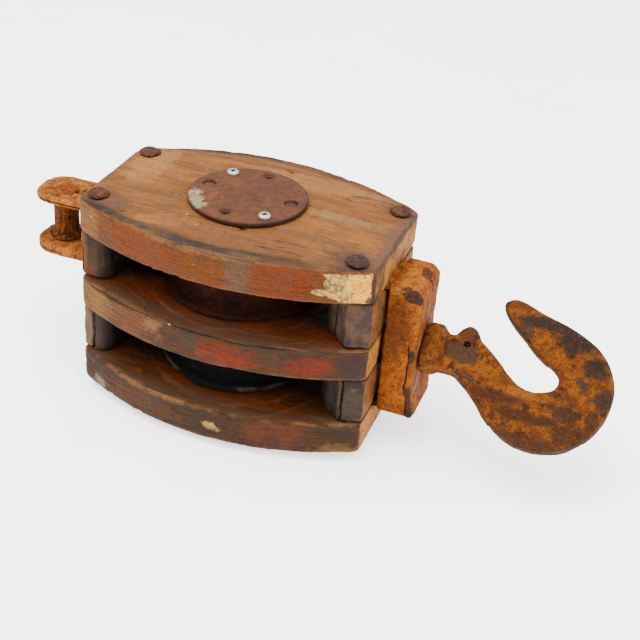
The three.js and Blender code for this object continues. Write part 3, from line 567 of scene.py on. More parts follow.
def cheek_materials():
    """The three cheeks' materials, each with its own worn paint."""
    near = -SIDE_Y
    top_z = UPPER_CHEEK[1][2]
    orange, rust_red = (144, 82, 36), (142, 64, 20)
    grey, tan = (122, 96, 74), (166, 122, 66)
    purple, bright = (70, 52, 46), (140, 56, 22)
    stained = ((132, 72, 30), (78, 38, 16))

    paint, colour, rough_, relief = weathered_wood(
        "upper_cheek_oak", 0.0,
        ((184, 132, 82), (132, 88, 50)), (orange, (118, 70, 36)), stained,
        patches=(
            ((-112, -62, 170), (13, 16, 22), tan, 0.3, 0.9),
            ((-60, near + 8, 168), (34, 14, 15), (148, 76, 40), 0.4, 0.7),
            ((30, near, 170), (11, 12, 26), grey, 0.28, 0.95),
            ((64, near + 6, 167), (27, 12, 20), rust_red, 0.3, 0.75),
            ((-20, near, 181), (46, 10, 3.0), (162, 128, 92), 0.5, 0.6),
            ((127, -54, 168), (7, 8, 22), purple, 0.3, 0.9),
        ),
        top_patches=(
            ((-104, -52, top_z - 3), (22, 16, 8), (98, 84, 66), 0.5, 0.8),
            ((108, -50, top_z - 4), (20, 14, 9), (92, 70, 62), 0.5, 0.85),
            ((112, 40, top_z - 4), (16, 12, 9), (128, 92, 66), 0.5, 0.7),
            ((127, 0, top_z - 4), (9, 62, 9), (122, 94, 78), 0.4, 0.85),
            ((-20, -28, top_z - 1), (66, 9, 8), (150, 100, 62), 0.6, 0.6),
            ((-70, -20, top_z - 1), (34, 5, 8), (126, 98, 66), 0.6, 0.6),
            ((-64, 34, top_z - 1), (40, 4, 8), (126, 96, 60), 0.6, 0.6),
            ((66, -34, top_z - 1), (40, 5, 8), (130, 96, 66), 0.6, 0.6),
            ((-100, -47, top_z - 2), (7, 4, 8), (170, 96, 50), 0.5, 0.5),
            ((84, 8, top_z - 1), (30, 7, 8), (168, 136, 98), 0.5, 0.7),
            ((-100, 30, top_z), (18, 34, 8), (190, 150, 100), 0.5, 0.6),
            ((44, 54, top_z), (50, 14, 8), (176, 136, 92), 0.5, 0.6),
            ((30, -62, top_z), (70, 14, 8), (140, 96, 66), 0.5, 0.6),
        ),
    )
    bare = paint.block((100, -90, 153.5), (126, -40, 179), 0.6, 6.0)
    slant = paint.plus(paint.plus(paint.x, paint.wander(44.0, 7.0, 4.0, 0.6, 8.0)), paint.both(paint.z, 0.35))
    bare = paint.both(bare, paint.range(slant, 167.5, 168.5))
    lobed = paint.block((92, -90, 171), (112, -40, 178.5), 0.5, 8.0)
    lobed = paint.both(lobed, paint.range(paint.plus(paint.x, paint.both(paint.z, 0.9)), 251.5, 253))
    for centre, half in (
        ((91.5, -74, 162.5), (7, 12, 3.2)),
        ((101, -70, 160.5), (5.5, 12, 3.8)),
        ((109, -66, 159), (7, 12, 5)),
        ((99, -70, 170), (6, 12, 6)),
        ((106, -66, 168), (9, 14, 10)),
    ):
        lobed = paint.most(lobed, paint.patch(centre, half, 0.1, 4.0, 0.06))
    tilted = paint.plus(paint.both(paint.x, 0.7), paint.z)
    phase = paint.plus(paint.both(tilted, 0.42), paint.both(paint.noise(8.0, 3.0), 5.0))
    seams = paint.math("ABSOLUTE", paint.math("SINE", phase))
    seams = paint.both(paint.range(seams, 0.2, 0.05), paint.swells(0.42, 0.56, 5.0, 3.0, shift=2.0))
    olive = paint.mix(paint.swells(0.42, 0.6, 5.0, 5.0, 0.7), tone(216, 188, 122), tone(148, 128, 82))
    olive = paint.mix(paint.both(seams, 0.8), olive, tone(78, 64, 46))
    flecks = paint.swells(0.57, 0.63, 2.0, 3.0, shift=4.0, top=0.85)
    faded = paint.mix(paint.swells(0.4, 0.64, 6.0, 4.0, shift=6.0), tone(238, 202, 116), tone(226, 178, 96))
    colour = paint.mix(lobed, colour, olive)
    colour = paint.mix(bare, colour, paint.mix(flecks, faded, tone(92, 70, 48)))
    dirty_corner = paint.block((HOOK_X - 1.5, -62, 148), (HOOK_X + 4, -35, 192), 2.5, 9.0, 2.0)
    dirty_rim = paint.block((HOOK_X - 2, -62, top_z - 8), (HOOK_X + 4, 62, top_z), 1.5, 8.0, 1.5)
    colour = paint.mix(paint.both(paint.most(dirty_corner, dirty_rim), 0.8), colour, tone(96, 70, 58))
    low_corner = paint.patch((126, -54, 155), (4.5, 8, 4), 0.4, 3.0, 0.15)
    colour = paint.mix(paint.both(low_corner, 0.9), colour, tone(76, 60, 48))
    relief = paint.bump(paint.most(lobed, bare), 0.6, relief)
    relief = paint.bump(seams, -0.4, relief)
    upper = paint.finish(colour, rough_, relief)

    paint, colour, rough_, relief = weathered_wood(
        "middle_cheek_oak", 3.0,
        stained, ((104, 66, 40), (70, 46, 30)), ((140, 78, 32), (84, 42, 18)),
        patches=(
            ((-70, near + 14, 95), (40, 18, 14), (142, 94, 58), 0.4, 0.8),
            ((-106, -62, 95), (20, 16, 20), tan, 0.3, 0.9),
            ((-44, near + 3, 104), (8, 8, 9), (172, 134, 94), 0.6, 0.6),
            ((22, near, 96), (32, 8, 8), bright, 0.6, 0.9),
            ((30, near, 89), (40, 8, 5), (150, 62, 30), 0.6, 0.8),
            ((86, -73, 93), (24, 10, 9), bright, 0.55, 0.85),
            ((-10, near, 96), (8, 8, 9), (80, 66, 54), 0.4, 0.9),
            ((56, -83, 96), (9, 8, 9), (94, 64, 48), 0.4, 0.8),
            ((124, -56, 95), (20, 14, 22), purple, 0.3, 0.95),
            ((60, near + 8, 108), (48, 16, 4.5), (70, 58, 50), 0.4, 0.95),
            ((-70, near + 14, 109), (60, 26, 2.2), (150, 122, 92), 0.4, 0.7),
            ((40, near + 2, 81), (80, 12, 2.5), (92, 66, 56), 0.5, 0.8),
        ),
    )
    middle = paint.finish(colour, rough_, relief)

    paint, colour, rough_, relief = weathered_wood(
        "lower_cheek_oak", 6.0,
        ((120, 84, 54), (78, 54, 36)), ((90, 60, 36), (60, 40, 26)),
        ((118, 72, 32), (68, 40, 18)),
        patches=(
            ((-64, near + 9, 18), (50, 20, 12), (116, 74, 46), 0.4, 0.75),
            ((-50, near + 5, 37), (52, 14, 5), (156, 114, 72), 0.4, 0.9),
            ((-102, -64, 15), (10, 10, 5), (178, 160, 140), 0.6, 0.75),
            ((12, near, 20), (6.0, 5, 3.6), (208, 180, 112), 0.75, 0.95),
            ((66, -80, 24), (34, 12, 13), (128, 66, 34), 0.4, 0.7),
            ((112, -60, 12), (20, 14, 6), (150, 114, 74), 0.5, 0.7),
            ((10, near + 3, 6), (110, 30, 3.0), (136, 104, 72), 0.6, 0.6),
        ),
    )
    lower = paint.finish(colour, rough_, relief)
    return upper, middle, lower


def spacer_material(name, shift, light, dark, outer, patches=()):
    """A spacer's dark, greasy oak. outer colours the face that is flush with the cheeks' ends."""
    paint = Paint(name)
    fibres = paint.noise((2.2, 2.2, 26), 4.0, 0.65, shift)
    blotch = paint.noise((12, 12, 17), 5.0, 0.66, shift + 2)
    smear = paint.noise((17, 17, 6), 4.0, 0.6, shift + 4, 0.5)
    dark = tone(*dark)
    colour = paint.coats(
        paint.mix(paint.range(blotch, 0.36, 0.62), dark, tone(*light)),
        (paint.range(fibres, 0.5, 0.7, 0.45), dark),
        (paint.range(smear, 0.5, 0.68, 0.5), tone(44, 34, 32)),
        (paint.range(smear, 0.42, 0.3, 0.4), tone(134, 100, 70)),
    )
    for centre, half, shade, share in patches:
        spot = paint.patch(centre, half, 0.3, 6.0, 0.25, shift)
        spot = paint.both(spot, paint.range(blotch, 0.3, 0.5, share, 0.6 * share))
        colour = paint.mix(spot, colour, tone(*shade))
    face = paint.mix(paint.range(blotch, 0.4, 0.62), tone(*outer), tone(116, 82, 52))
    rub = paint.both(paint.mark("edge"), paint.range(blotch, 0.4, 0.6))
    colour = paint.coats(
        colour,
        (paint.mark("end"), face),
        (paint.both(rub, 0.5), tone(140, 104, 74)),
        # painted shade: the tail spacers' near side darker past the split, away from their lit end
        (paint.mark("shade", 0.6), tone(46, 34, 28)),
        # painted shade: near black where the spacer runs far into the slot
        (paint.mark("deep"), tone(18, 12, 10)),
        (paint.mark("crack"), tone(16, 12, 10)),
        (paint.both(paint.specks(13.0, 0.6, shift), 0.8), tone(204, 178, 136)),
    )
    relief = paint.bump(fibres, 0.7)
    relief = paint.bump(blotch, 0.8, relief)
    return paint.finish(colour, paint.range(blotch, 0.3, 0.7, 0.85, 0.6), relief)


def worn_spacer(node, seed, material, split_x):
    """A spacer, with a wavy vertical split at split_x on its near side and a few on its ends."""
    s = Surface(node, 1.0)
    at_tail = low_high(node)[0][0] < 0
    s.wear(1.0, 3.6, lambda p: 0.45 + 0.5 * noise(p, 16, seed))
    p = s.points
    n = s.normals()
    s.marks["end"] = smooth(0.75, 0.92, -n[:, 0] if at_tail else n[:, 0])
    wander = 1.5 * noise(p, (90, 90, 14), seed + 2) + 0.5 * noise(p, (90, 90, 4), seed + 6)
    width = 1.5 + 0.7 * noise(p, (90, 90, 12), seed + 8)
    crack = smooth(width, 0.4 * width, np.abs(p[:, 0] - split_x - wander)) * smooth(-30, -38, p[:, 1])
    crack *= 1 - s.marks["end"]
    if at_tail:
        # painted shade mask: the near side past the split, away from the lit tail end
        s.marks["shade"] = smooth(split_x - 1, split_x + 2, p[:, 0])
        # painted shade mask: the tail spacer far inside the slot
        s.marks["deep"] = smooth(18, 30, p[:, 0] - TAIL_X + 3 * noise(p, 14, seed + 9))
    else:
        # painted shade mask: the hook spacer far inside the slot
        s.marks["deep"] = smooth(34, 42, HOOK_X - p[:, 0])
    crack += 0.6 * cracks(p[:, [2, 1, 0]], (50, 12, 40), 0.1, 0.035, seed + 7) * s.marks["end"]
    crack = np.clip(crack, 0, 1)
    s.marks["crack"] = crack
    fibre = noise(p, (3, 3, 40), seed + 3)
    chips = np.maximum(0, noise(p, 8, seed + 4) - 0.35) * (0.4 + s.marks["edge"])
    s.push(np.minimum(0.2 * fibre + 0.5 * noise(p, 22, seed + 5) - 0.3 - 2.2 * crack - 2 * chips, 0.25))
    s.piece(material, "shell")


# ---------------------------------------------------------------------- iron


def rusty(
    name, shift, colours, bare_share=0.6, patches=(), zones=(), pitting=1.0, coarse=1.0, flecks=0.8
):
    """Heavily rusted forged iron. colours are screen colours: light rust, rust, dark scale and bare metal.
    zones are wide soft areas that tint the rust, and patches are laid over it:
    (centre, half sizes, colour, share)."""
    paint = Paint(name)
    light, mid, dark, bare = (tone(*shade) for shade in colours)
    mottle = paint.noise(7 * coarse, 5.0, 0.68, shift + 1, 0.4)
    fine = paint.noise(1.7, 4.0, 0.65, shift + 2)
    scale = paint.swells(0.53, 0.62, 11 * coarse, 5.0, 0.7, shift + 3)
    scab = paint.swells(0.61, 0.645, 19 * coarse, 4.0, 0.6, shift + 4)
    colour = paint.coats(
        paint.mix(paint.range(mottle, 0.38, 0.6), mid, light),
        (paint.swells(0.5, 0.64, 26 * coarse, 4.0, 0.6, shift, top=0.75), mid),
        (paint.both(scale, 0.85), dark),
        (paint.both(scab, bare_share), bare),
    )
    for centre, half, shade, share in zones:
        zone = paint.patch(centre, half, 0.42, 9.0, 0.35, shift)
        zone = paint.both(zone, paint.range(mottle, 0.32, 0.52, share, 0.35 * share))
        colour = paint.mix(zone, colour, tone(*shade))
    for centre, half, shade, share in patches:
        spot = paint.patch(centre, half, 0.3, 7.0, 0.1, shift)
        spot = paint.both(spot, paint.range(fine, 0.34, 0.5, share, 0.5 * share))
        colour = paint.mix(spot, colour, tone(*shade))
    pits = paint.both(paint.range(fine, 0.43, 0.33), 0.75)
    bloom = paint.swells(0.6, 0.72, 3.1, 4.0, 0.7, shift + 5, top=0.45)
    colour = paint.speckle(paint.coats(colour, (pits, dark), (bloom, light)), 1.9, 0.7, shift)
    # worn bare rims on the sheaves; on the hook's outer rim the same dark bare colour is painted shade
    rim_wear_and_shade = paint.both(paint.mark("rim"), paint.range(mottle, 0.36, 0.58, 1.0, 0.5))
    colour = paint.coats(
        colour,
        (paint.mark("hollow", 0.75), tone(62, 34, 20)),
        (paint.both(rim_wear_and_shade, 0.8), bare),
        # painted shade: near black on the strap bars inside the block
        (paint.mark("inside"), tone(26, 18, 14)),
        (paint.mark("scale", 0.9), tone(58, 44, 36)),
        (paint.range(paint.mark("crack"), 0.2, 0.8), tone(28, 18, 12)),
        (paint.both(paint.specks(15.0, 0.8, shift), flecks), tone(206, 186, 146)),
    )
    relief = paint.bump(mottle, 1.6 * pitting)
    relief = paint.bump(fine, 0.55 * pitting, relief)
    return paint.finish(colour, paint.range(scab, 0.0, 1.0, 0.62, 0.9), relief)


def corroded(s, seed, depth=1.0, flaky=0.5):
    """Pushes a forged surface into rust swells, pits and lifted scale."""
    p = s.points
    swell = rough(p, 22, 3, seed)
    pits = np.maximum(0, rough(p, 6.5, 2, seed + 5) - 0.38)
    layers = smooth(0.05, 0.14, noise(p, (26, 26, 15), seed + 9)) * flaky
    bites = np.maximum(0, noise(p, 11, seed + 12) - 0.3) * s.marks["edge"]
    return depth * (0.45 * swell - 1.3 * pits - 0.5 * layers - 2.6 * bites - 0.12)


def worn_crosshead(material):
    s = Surface("crosshead", 0.85)
    s.wear(0.8, 2.6, lambda p: 0.2 + 0.6 * noise(p, 22, 40))
    p = s.points
    n = s.normals()
    side = smooth(0.5, 0.8, np.abs(n[:, 1]))
    flare = CROSS_FLARE * np.clip((FLARE_TOP - p[:, 2]) / (FLARE_TOP - CROSSHEAD[0][2]), 0, 1)
    scale_edge = CROSSHEAD[1][0] - CROSS_FLARE + flare - 5.0 + 2.4 * noise(p, (60, 60, 13), 44)
    low_part = smooth(112, 104, p[:, 2]) * side * (p[:, 1] < 0)
    scale = smooth(scale_edge - 0.4, scale_edge + 0.6, p[:, 0]) * low_part
    scale *= smooth(-0.45, -0.2, noise(p, (60, 60, 17), 45))
    s.marks["scale"] = scale
    s.marks["crack"] = 0.8 * smooth(1.2, 0.3, np.abs(p[:, 0] - scale_edge + 0.6)) * low_part * (1 - scale)
    s.push(np.minimum(corroded(s, 41, 1.15) - 1.0 * s.marks["crack"] + 0.9 * scale, 0.8))
    s.piece(material, "shell")


def worn_hook(material):
    """The hook thins towards its point."""
    s = Surface("hook", 0.95)
    axis = np.array(frame_joint("hook_swivel")) * METRE
    turn = math.radians(HOOK_TURN)
    flat = np.array([0.0, -math.sin(turn), math.cos(turn)])

    def blunted(p):
        return 0.6 * smooth(axis[0] + 60, axis[0] + 84, p[:, 0]) + 0.15 + 0.2 * noise(p, 20, 50)

    s.wear(1.6, 5.6, blunted)
    p = s.points
    level = (p - axis) @ flat
    along = (p - axis) @ np.array([0.0, math.cos(turn), math.sin(turn)])
    tip = smooth(22, 52, along) * smooth(axis[0] + 120, axis[0] + 66, p[:, 0])
    s.points = p - np.outer(level * 0.15 * tip, flat)
    s.marks["crack"] = np.zeros(len(p))
    point = smooth(20, 4, np.linalg.norm(p - HOOK_POINT, axis=1))
    bend_x, bend_along = axis[0] + 123, -4.0
    from_bend = np.hypot(p[:, 0] - bend_x, along - bend_along)
    outer = smooth(47, 53, from_bend) * smooth(8.8, 7.0, np.abs(level))
    outer *= smooth(axis[0] + 60, axis[0] + 72, p[:, 0])
    # painted shade: the hook's outer rim painted dark, darkening its downward-facing bevel
    s.marks["rim"] = outer * smooth(-0.7, -0.1, noise(p, 18, 56))
    s.push(np.minimum(corroded(s, 51, 1.1, 0.8), 0.5) + 0.6 * point)
    s.piece(material, "hook_body")


def worn_strap(node, seed, material, voxel=1.05, dip=0.0):
    """A strap: its bar lies in the shell, its ear sticks out at the tail."""
    s = Surface(node, voxel)
    low, high = low_high(node)
    s.wear(0.8, 2.8, lambda p: 0.6 + 0.5 * noise(p, 14, seed))
    p = s.points
    out = smooth(TAIL_X + 2, TAIL_X - 6, p[:, 0])
    n = s.normals()
    lying = smooth(0.5, 0.8, n[:, 2])
    layer_z = low[2] + (high[2] - low[2]) * (0.4 + 0.08 * noise(p, (24, 24, 200), seed + 1))
    split = smooth(0.9, 0.25, np.abs(p[:, 2] - layer_z)) * smooth(0.6, 0.3, np.abs(n[:, 2])) * out
    s.marks["crack"] = split * smooth(-0.5, 0.0, noise(p, 16, seed + 2))
    groove = smooth(8, 1, np.abs(p[:, 1] - 1.5 - 2 * noise(p, 12, seed + 3))) * lying * out
    groove *= smooth(TAIL_X - 56, TAIL_X - 46, p[:, 0])
    move = corroded(s, seed + 4, 0.9, 0.4) - 2.0 * s.marks["crack"] - dip * groove
    s.marks["hollow"] = np.clip(s.marks["hollow"] + 0.75 * groove * (dip > 0), 0, 1)
    # painted shade mask: the bar between the ends, inside the dark slot
    s.marks["inside"] = smooth(TAIL_X + 1, TAIL_X + 5, p[:, 0]) * smooth(HOOK_X - 9, HOOK_X - 14, p[:, 0])
    s.push(np.minimum(move * (0.15 + 0.85 * out), 0.4))
    s.piece(material, "shell")


def worn_spool(material):
    s = Surface("becket_spool", 0.8)
    s.wear(0.8, 2.4, 0.5)
    p = s.points
    streak = noise(p, (5, 5, 40), 71)
    groove = smooth(0.1, 0.02, np.abs(noise(p, (9, 9, 60), 72)))
    s.marks["crack"] = groove * 0.8
    s.push(np.minimum(corroded(s, 70, 0.7, 0.3) + 0.35 * streak - 0.9 * groove, 0.3))
    s.piece(material, "becket_body")


def worn_plate(node, voxel, material, face, seed):
    """A cover plate. face is +1 for the upper plate's top and -1 for the lower plate's underside."""
    s = Surface(node, voxel)
    low, high = low_high(node)
    middle = (low + high) / 2
    s.wear(0.4, 1.5, 0.6)
    p = s.points
    n = s.normals()
    shown = smooth(0.6, 0.9, n[:, 2] * face)
    reach = np.hypot(p[:, 0] - middle[0], p[:, 1] - middle[1])
    lip = np.zeros(len(p))
    hole = np.zeros(len(p))
    for x, y in empty_holes() if face > 0 else ():
        away = np.hypot(p[:, 0] - x, p[:, 1] - y)
        lip += np.exp(-(((away - 5.0) / 1.3) ** 2))
        # painted shade mask for the empty hole's dark inside
        hole += smooth(3.1, 2.5, away)
    pits = np.maximum(0, rough(p, 4.5, 2, seed) - 0.45)
    rim = smooth(6, 1.5, (high[0] - low[0]) / 2 - reach)
    move = 0.12 * rough(p, 26, 3, seed + 3) - 0.7 * pits + 0.7 * lip * shown - 0.4 * hole - 0.25 * rim - 0.08
    s.marks["lip"] = lip * shown
    s.marks["hole"] = hole
    # painted shadow mask along the plate's edge
    s.marks["rim"] = smooth(2.4, 0.4, (high[0] - low[0]) / 2 - reach)
    s.push(np.minimum(move, 0.5 if face > 0 else 0.0))
    s.piece(material, "shell")


def empty_holes():
    """Centres of the two holes in the upper plate that have lost their screws."""
    return [(r * math.cos(math.radians(a)), r * math.sin(math.radians(a))) for r, a in EMPTY_HOLES]


def worn_rivet(node, seed, material):
    s = Surface(node, 0.62)
    low, high = low_high(node)
    centre = (low + high) / 2
    s.wear(0.5, 1.7, 0.7)
    p = s.points
    n = s.normals()
    angle = np.arctan2(p[:, 1] - centre[1], p[:, 0] - centre[0])
    ring = np.stack([8 * np.cos(angle), 8 * np.sin(angle), np.full(len(p), seed * 3.0)], 1)
    uneven = noise(ring, 7, seed) * smooth(0.6, 0.2, np.abs(n[:, 2]))
    hammer = noise(p, (7, 7, 7), seed + 2)
    pits = np.maximum(0, noise(p, 3.4, seed + 3) - 0.4)
    s.push(np.minimum(0.7 * uneven + 0.35 * hammer - 0.9 * pits - 0.15, 0.35))
    s.piece(material, "shell")


def worn_sheave(node, seed, material):
    s = Surface(node, 1.15)
    s.wear(0.8, 2.6, lambda p: 0.6 + 0.4 * noise(p, 18, seed))
    p = s.points
    pits = np.maximum(0, rough(p, 7, 2, seed + 1) - 0.42)
    s.marks["rim"] = s.marks["edge"] * smooth(-0.2, 0.3, noise(p, 20, seed + 3))
    s.push(np.minimum(0.16 * rough(p, 24, 3, seed + 2) - 0.8 * pits - 0.1, 0.1))
    s.piece(material, "upper_sheave_body" if "upper" in node else "lower_sheave_body")


def fine_screw(node, seed, material):
    """A bright pan-head screw with softened edges."""
    s = Surface(node, 0.26)
    s.wear(0.22, 0.6, 0.6)
    low, high = low_high(node)
    across = np.abs(s.points - (low + high) / 2)
    near, far = np.minimum(across[:, 0], across[:, 1]), np.maximum(across[:, 0], across[:, 1])
    recess = smooth(1.0, 0.6, near) * smooth(3.2, 2.7, far)
    recess *= smooth(high[2] - 2.6, high[2] - 2.0, s.points[:, 2])
    # painted shade mask for the cross recess
    s.marks["recess"] = recess
    s.push(0.05 * noise(s.points, 2.2, seed) - 0.5 * recess)
    s.piece(material, "shell")


def plate_material(name, shift, patchy):
    """The cover plate's smooth purple-brown rust, with worn grey paint at its tail edge."""
    paint = Paint(name)
    broad = paint.noise(24, 4.0, 0.6, shift)
    mottle = paint.noise(5.5, 5.0, 0.65, shift + 1)
    fine = paint.noise(1.1, 4.0, 0.6, shift + 2)
    scratch = paint.noise((1.2, 26, 26), 3.0, 0.6, shift + 4, warp=0.6)
    colour = paint.coats(
        paint.mix(paint.range(mottle, 0.36, 0.66), tone(95, 60, 43), tone(126, 80, 55)),
        (paint.range(broad, 0.5, 0.68, 0.6), tone(136, 86, 56)),
        (paint.range(broad, 0.46, 0.34, 0.7), tone(88, 58, 49)),
        (paint.range(scratch, 0.64, 0.74, 0.35), tone(182, 124, 84)),
    )
    if patchy:
        tail = PLATE[0][0]
        fringe = paint.patch((tail + 14, -14, PLATE[1][2]), (15, 24, 12), 0.4, 5.0, 0.3, shift)
        fringe = paint.both(fringe, paint.range(mottle, 0.4, 0.6, 0.55, 0.1))
        colour = paint.mix(fringe, colour, tone(150, 92, 60))
        grey = paint.patch((tail + 13, -29, PLATE[1][2]), (15, 19, 12), 0.25, 5.0, 0.1, shift)
        reach = paint.vector("LENGTH", paint.vector("MULTIPLY", paint.place, (1, 1, 0)), (0, 0, 0))
        reach = paint.plus(reach, paint.wander(16.0, 4.0, 3.0, 0.6, 3.0))
        grey = paint.both(grey, paint.range(reach, 37.5, 38.5))
        chalky = paint.mix(paint.swells(0.4, 0.62, 3.0, 4.0, 0.7), tone(184, 172, 142), tone(142, 124, 98))
        colour = paint.mix(paint.both(grey, 0.95), colour, chalky)
    colour = paint.coats(
        colour,
        (paint.mark("lip", 0.65), tone(92, 62, 42)),
        # painted shade in the plate's hollows and recesses
        (paint.range(paint.mark("hollow"), 0.1, 0.7, 0.9), tone(34, 20, 16)),
        # painted shade: the empty screw holes painted near black
        (paint.mark("hole"), tone(20, 14, 12)),
        # painted shadow: a dark line around the plate's edge
        (paint.mark("rim", 0.8), tone(66, 40, 30)),
        (paint.both(paint.range(fine, 0.42, 0.32), 0.5), tone(60, 36, 28)),
    )
    relief = paint.bump(mottle, 0.5)
    relief = paint.bump(fine, 0.25, relief)
    return paint.finish(colour, paint.range(mottle, 0.3, 0.7, 0.82, 0.58), relief)


def metal_material(name, shift, clean, tarnish, metallic, roughness, tarnish_at=0.5):
    """Machined or plated metal with tarnish in soft blotches."""
    paint = Paint(name)
    blotch = paint.noise(3.4, 4.0, 0.6, shift)
    fine = paint.noise(0.5, 3.0, 0.6, shift + 1)
    tarnish = tone(*tarnish)
    colour = paint.coats(
        tone(*clean),
        (paint.range(blotch, tarnish_at, tarnish_at + 0.16), tarnish),
        (paint.range(fine, 0.6, 0.75, 0.4), tarnish),
        # painted shade: the screw's cross recess painted dark
        (paint.mark("recess", 0.95), tone(40, 33, 26)),
    )
    relief = paint.bump(fine, 0.08)
    return paint.finish(
        colour, paint.range(blotch, 0.3, 0.7, roughness + 0.25, roughness), relief,
        paint.range(blotch, tarnish_at, tarnish_at + 0.2, metallic * 0.3, metallic), 0.5,
    )


# ------------------------------------------------------------------- the block

CROSS_FLARE = 4.0  # how much thicker the crosshead's lower arm is at its end
FLARE_TOP = 67.0  # where that thickening starts
HOOK_TURN = 42.0  # the hook's plane, turned about the swivel from flat
EMPTY_HOLES = ((38.0, 87.0), (36.0, 263.0))  # (distance from the axle, angle) of each on the plate


def frame_joint(name):
    """A joint's origin, in metres."""
    return next(j["pos_m"] for j in frame["joints"] if j["name"] == name)


def build_wood():
    upper, middle, lower = cheek_materials()
    worn_cheek("upper_cheek", 1.15, 3, upper, 1)
    worn_cheek("middle_cheek", 1.15, 23, middle, 0, True)
    worn_cheek("lower_cheek", 1.3, 43, lower, -1)
    grey = ((112, 84, 66), (70, 52, 46))
    brown = ((128, 86, 46), (58, 38, 24))
    sooty = ((84, 66, 54), (48, 37, 34))
    # painted highlight: the upper tail spacer's near corner painted light tan where the light falls
    lit_corner_highlight = ((-125, -52, 130), (7, 12, 40), (178, 124, 66), 0.9)
    rubbed = ((-112, -56, 112), (9, 8, 11), (144, 86, 36), 0.9)
    knot = ((-105, -56, 117), (4, 6, 5), (52, 32, 20), 0.9)
    bleached = ((-123, -52, 57), (9, 12, 26), (138, 114, 82), 0.8)
    looks = {
        "upper_tail_spacer": (brown, (196, 144, 82), -124, (lit_corner_highlight, rubbed, knot)),
        "lower_tail_spacer": (grey, (146, 120, 86), -113.5, (bleached,)),
        "upper_hook_spacer": (grey, (168, 108, 54), 98, ()),
        "lower_hook_spacer": (sooty, (158, 98, 48), 112, ()),
    }
    for seed, (node, (pair, outer, split_x, patches)) in enumerate(looks.items()):
        oak = spacer_material(node + "_oak", 11.0 + seed, *pair, outer, patches)
        worn_spacer(node, 80 + 5 * seed, oak, split_x)


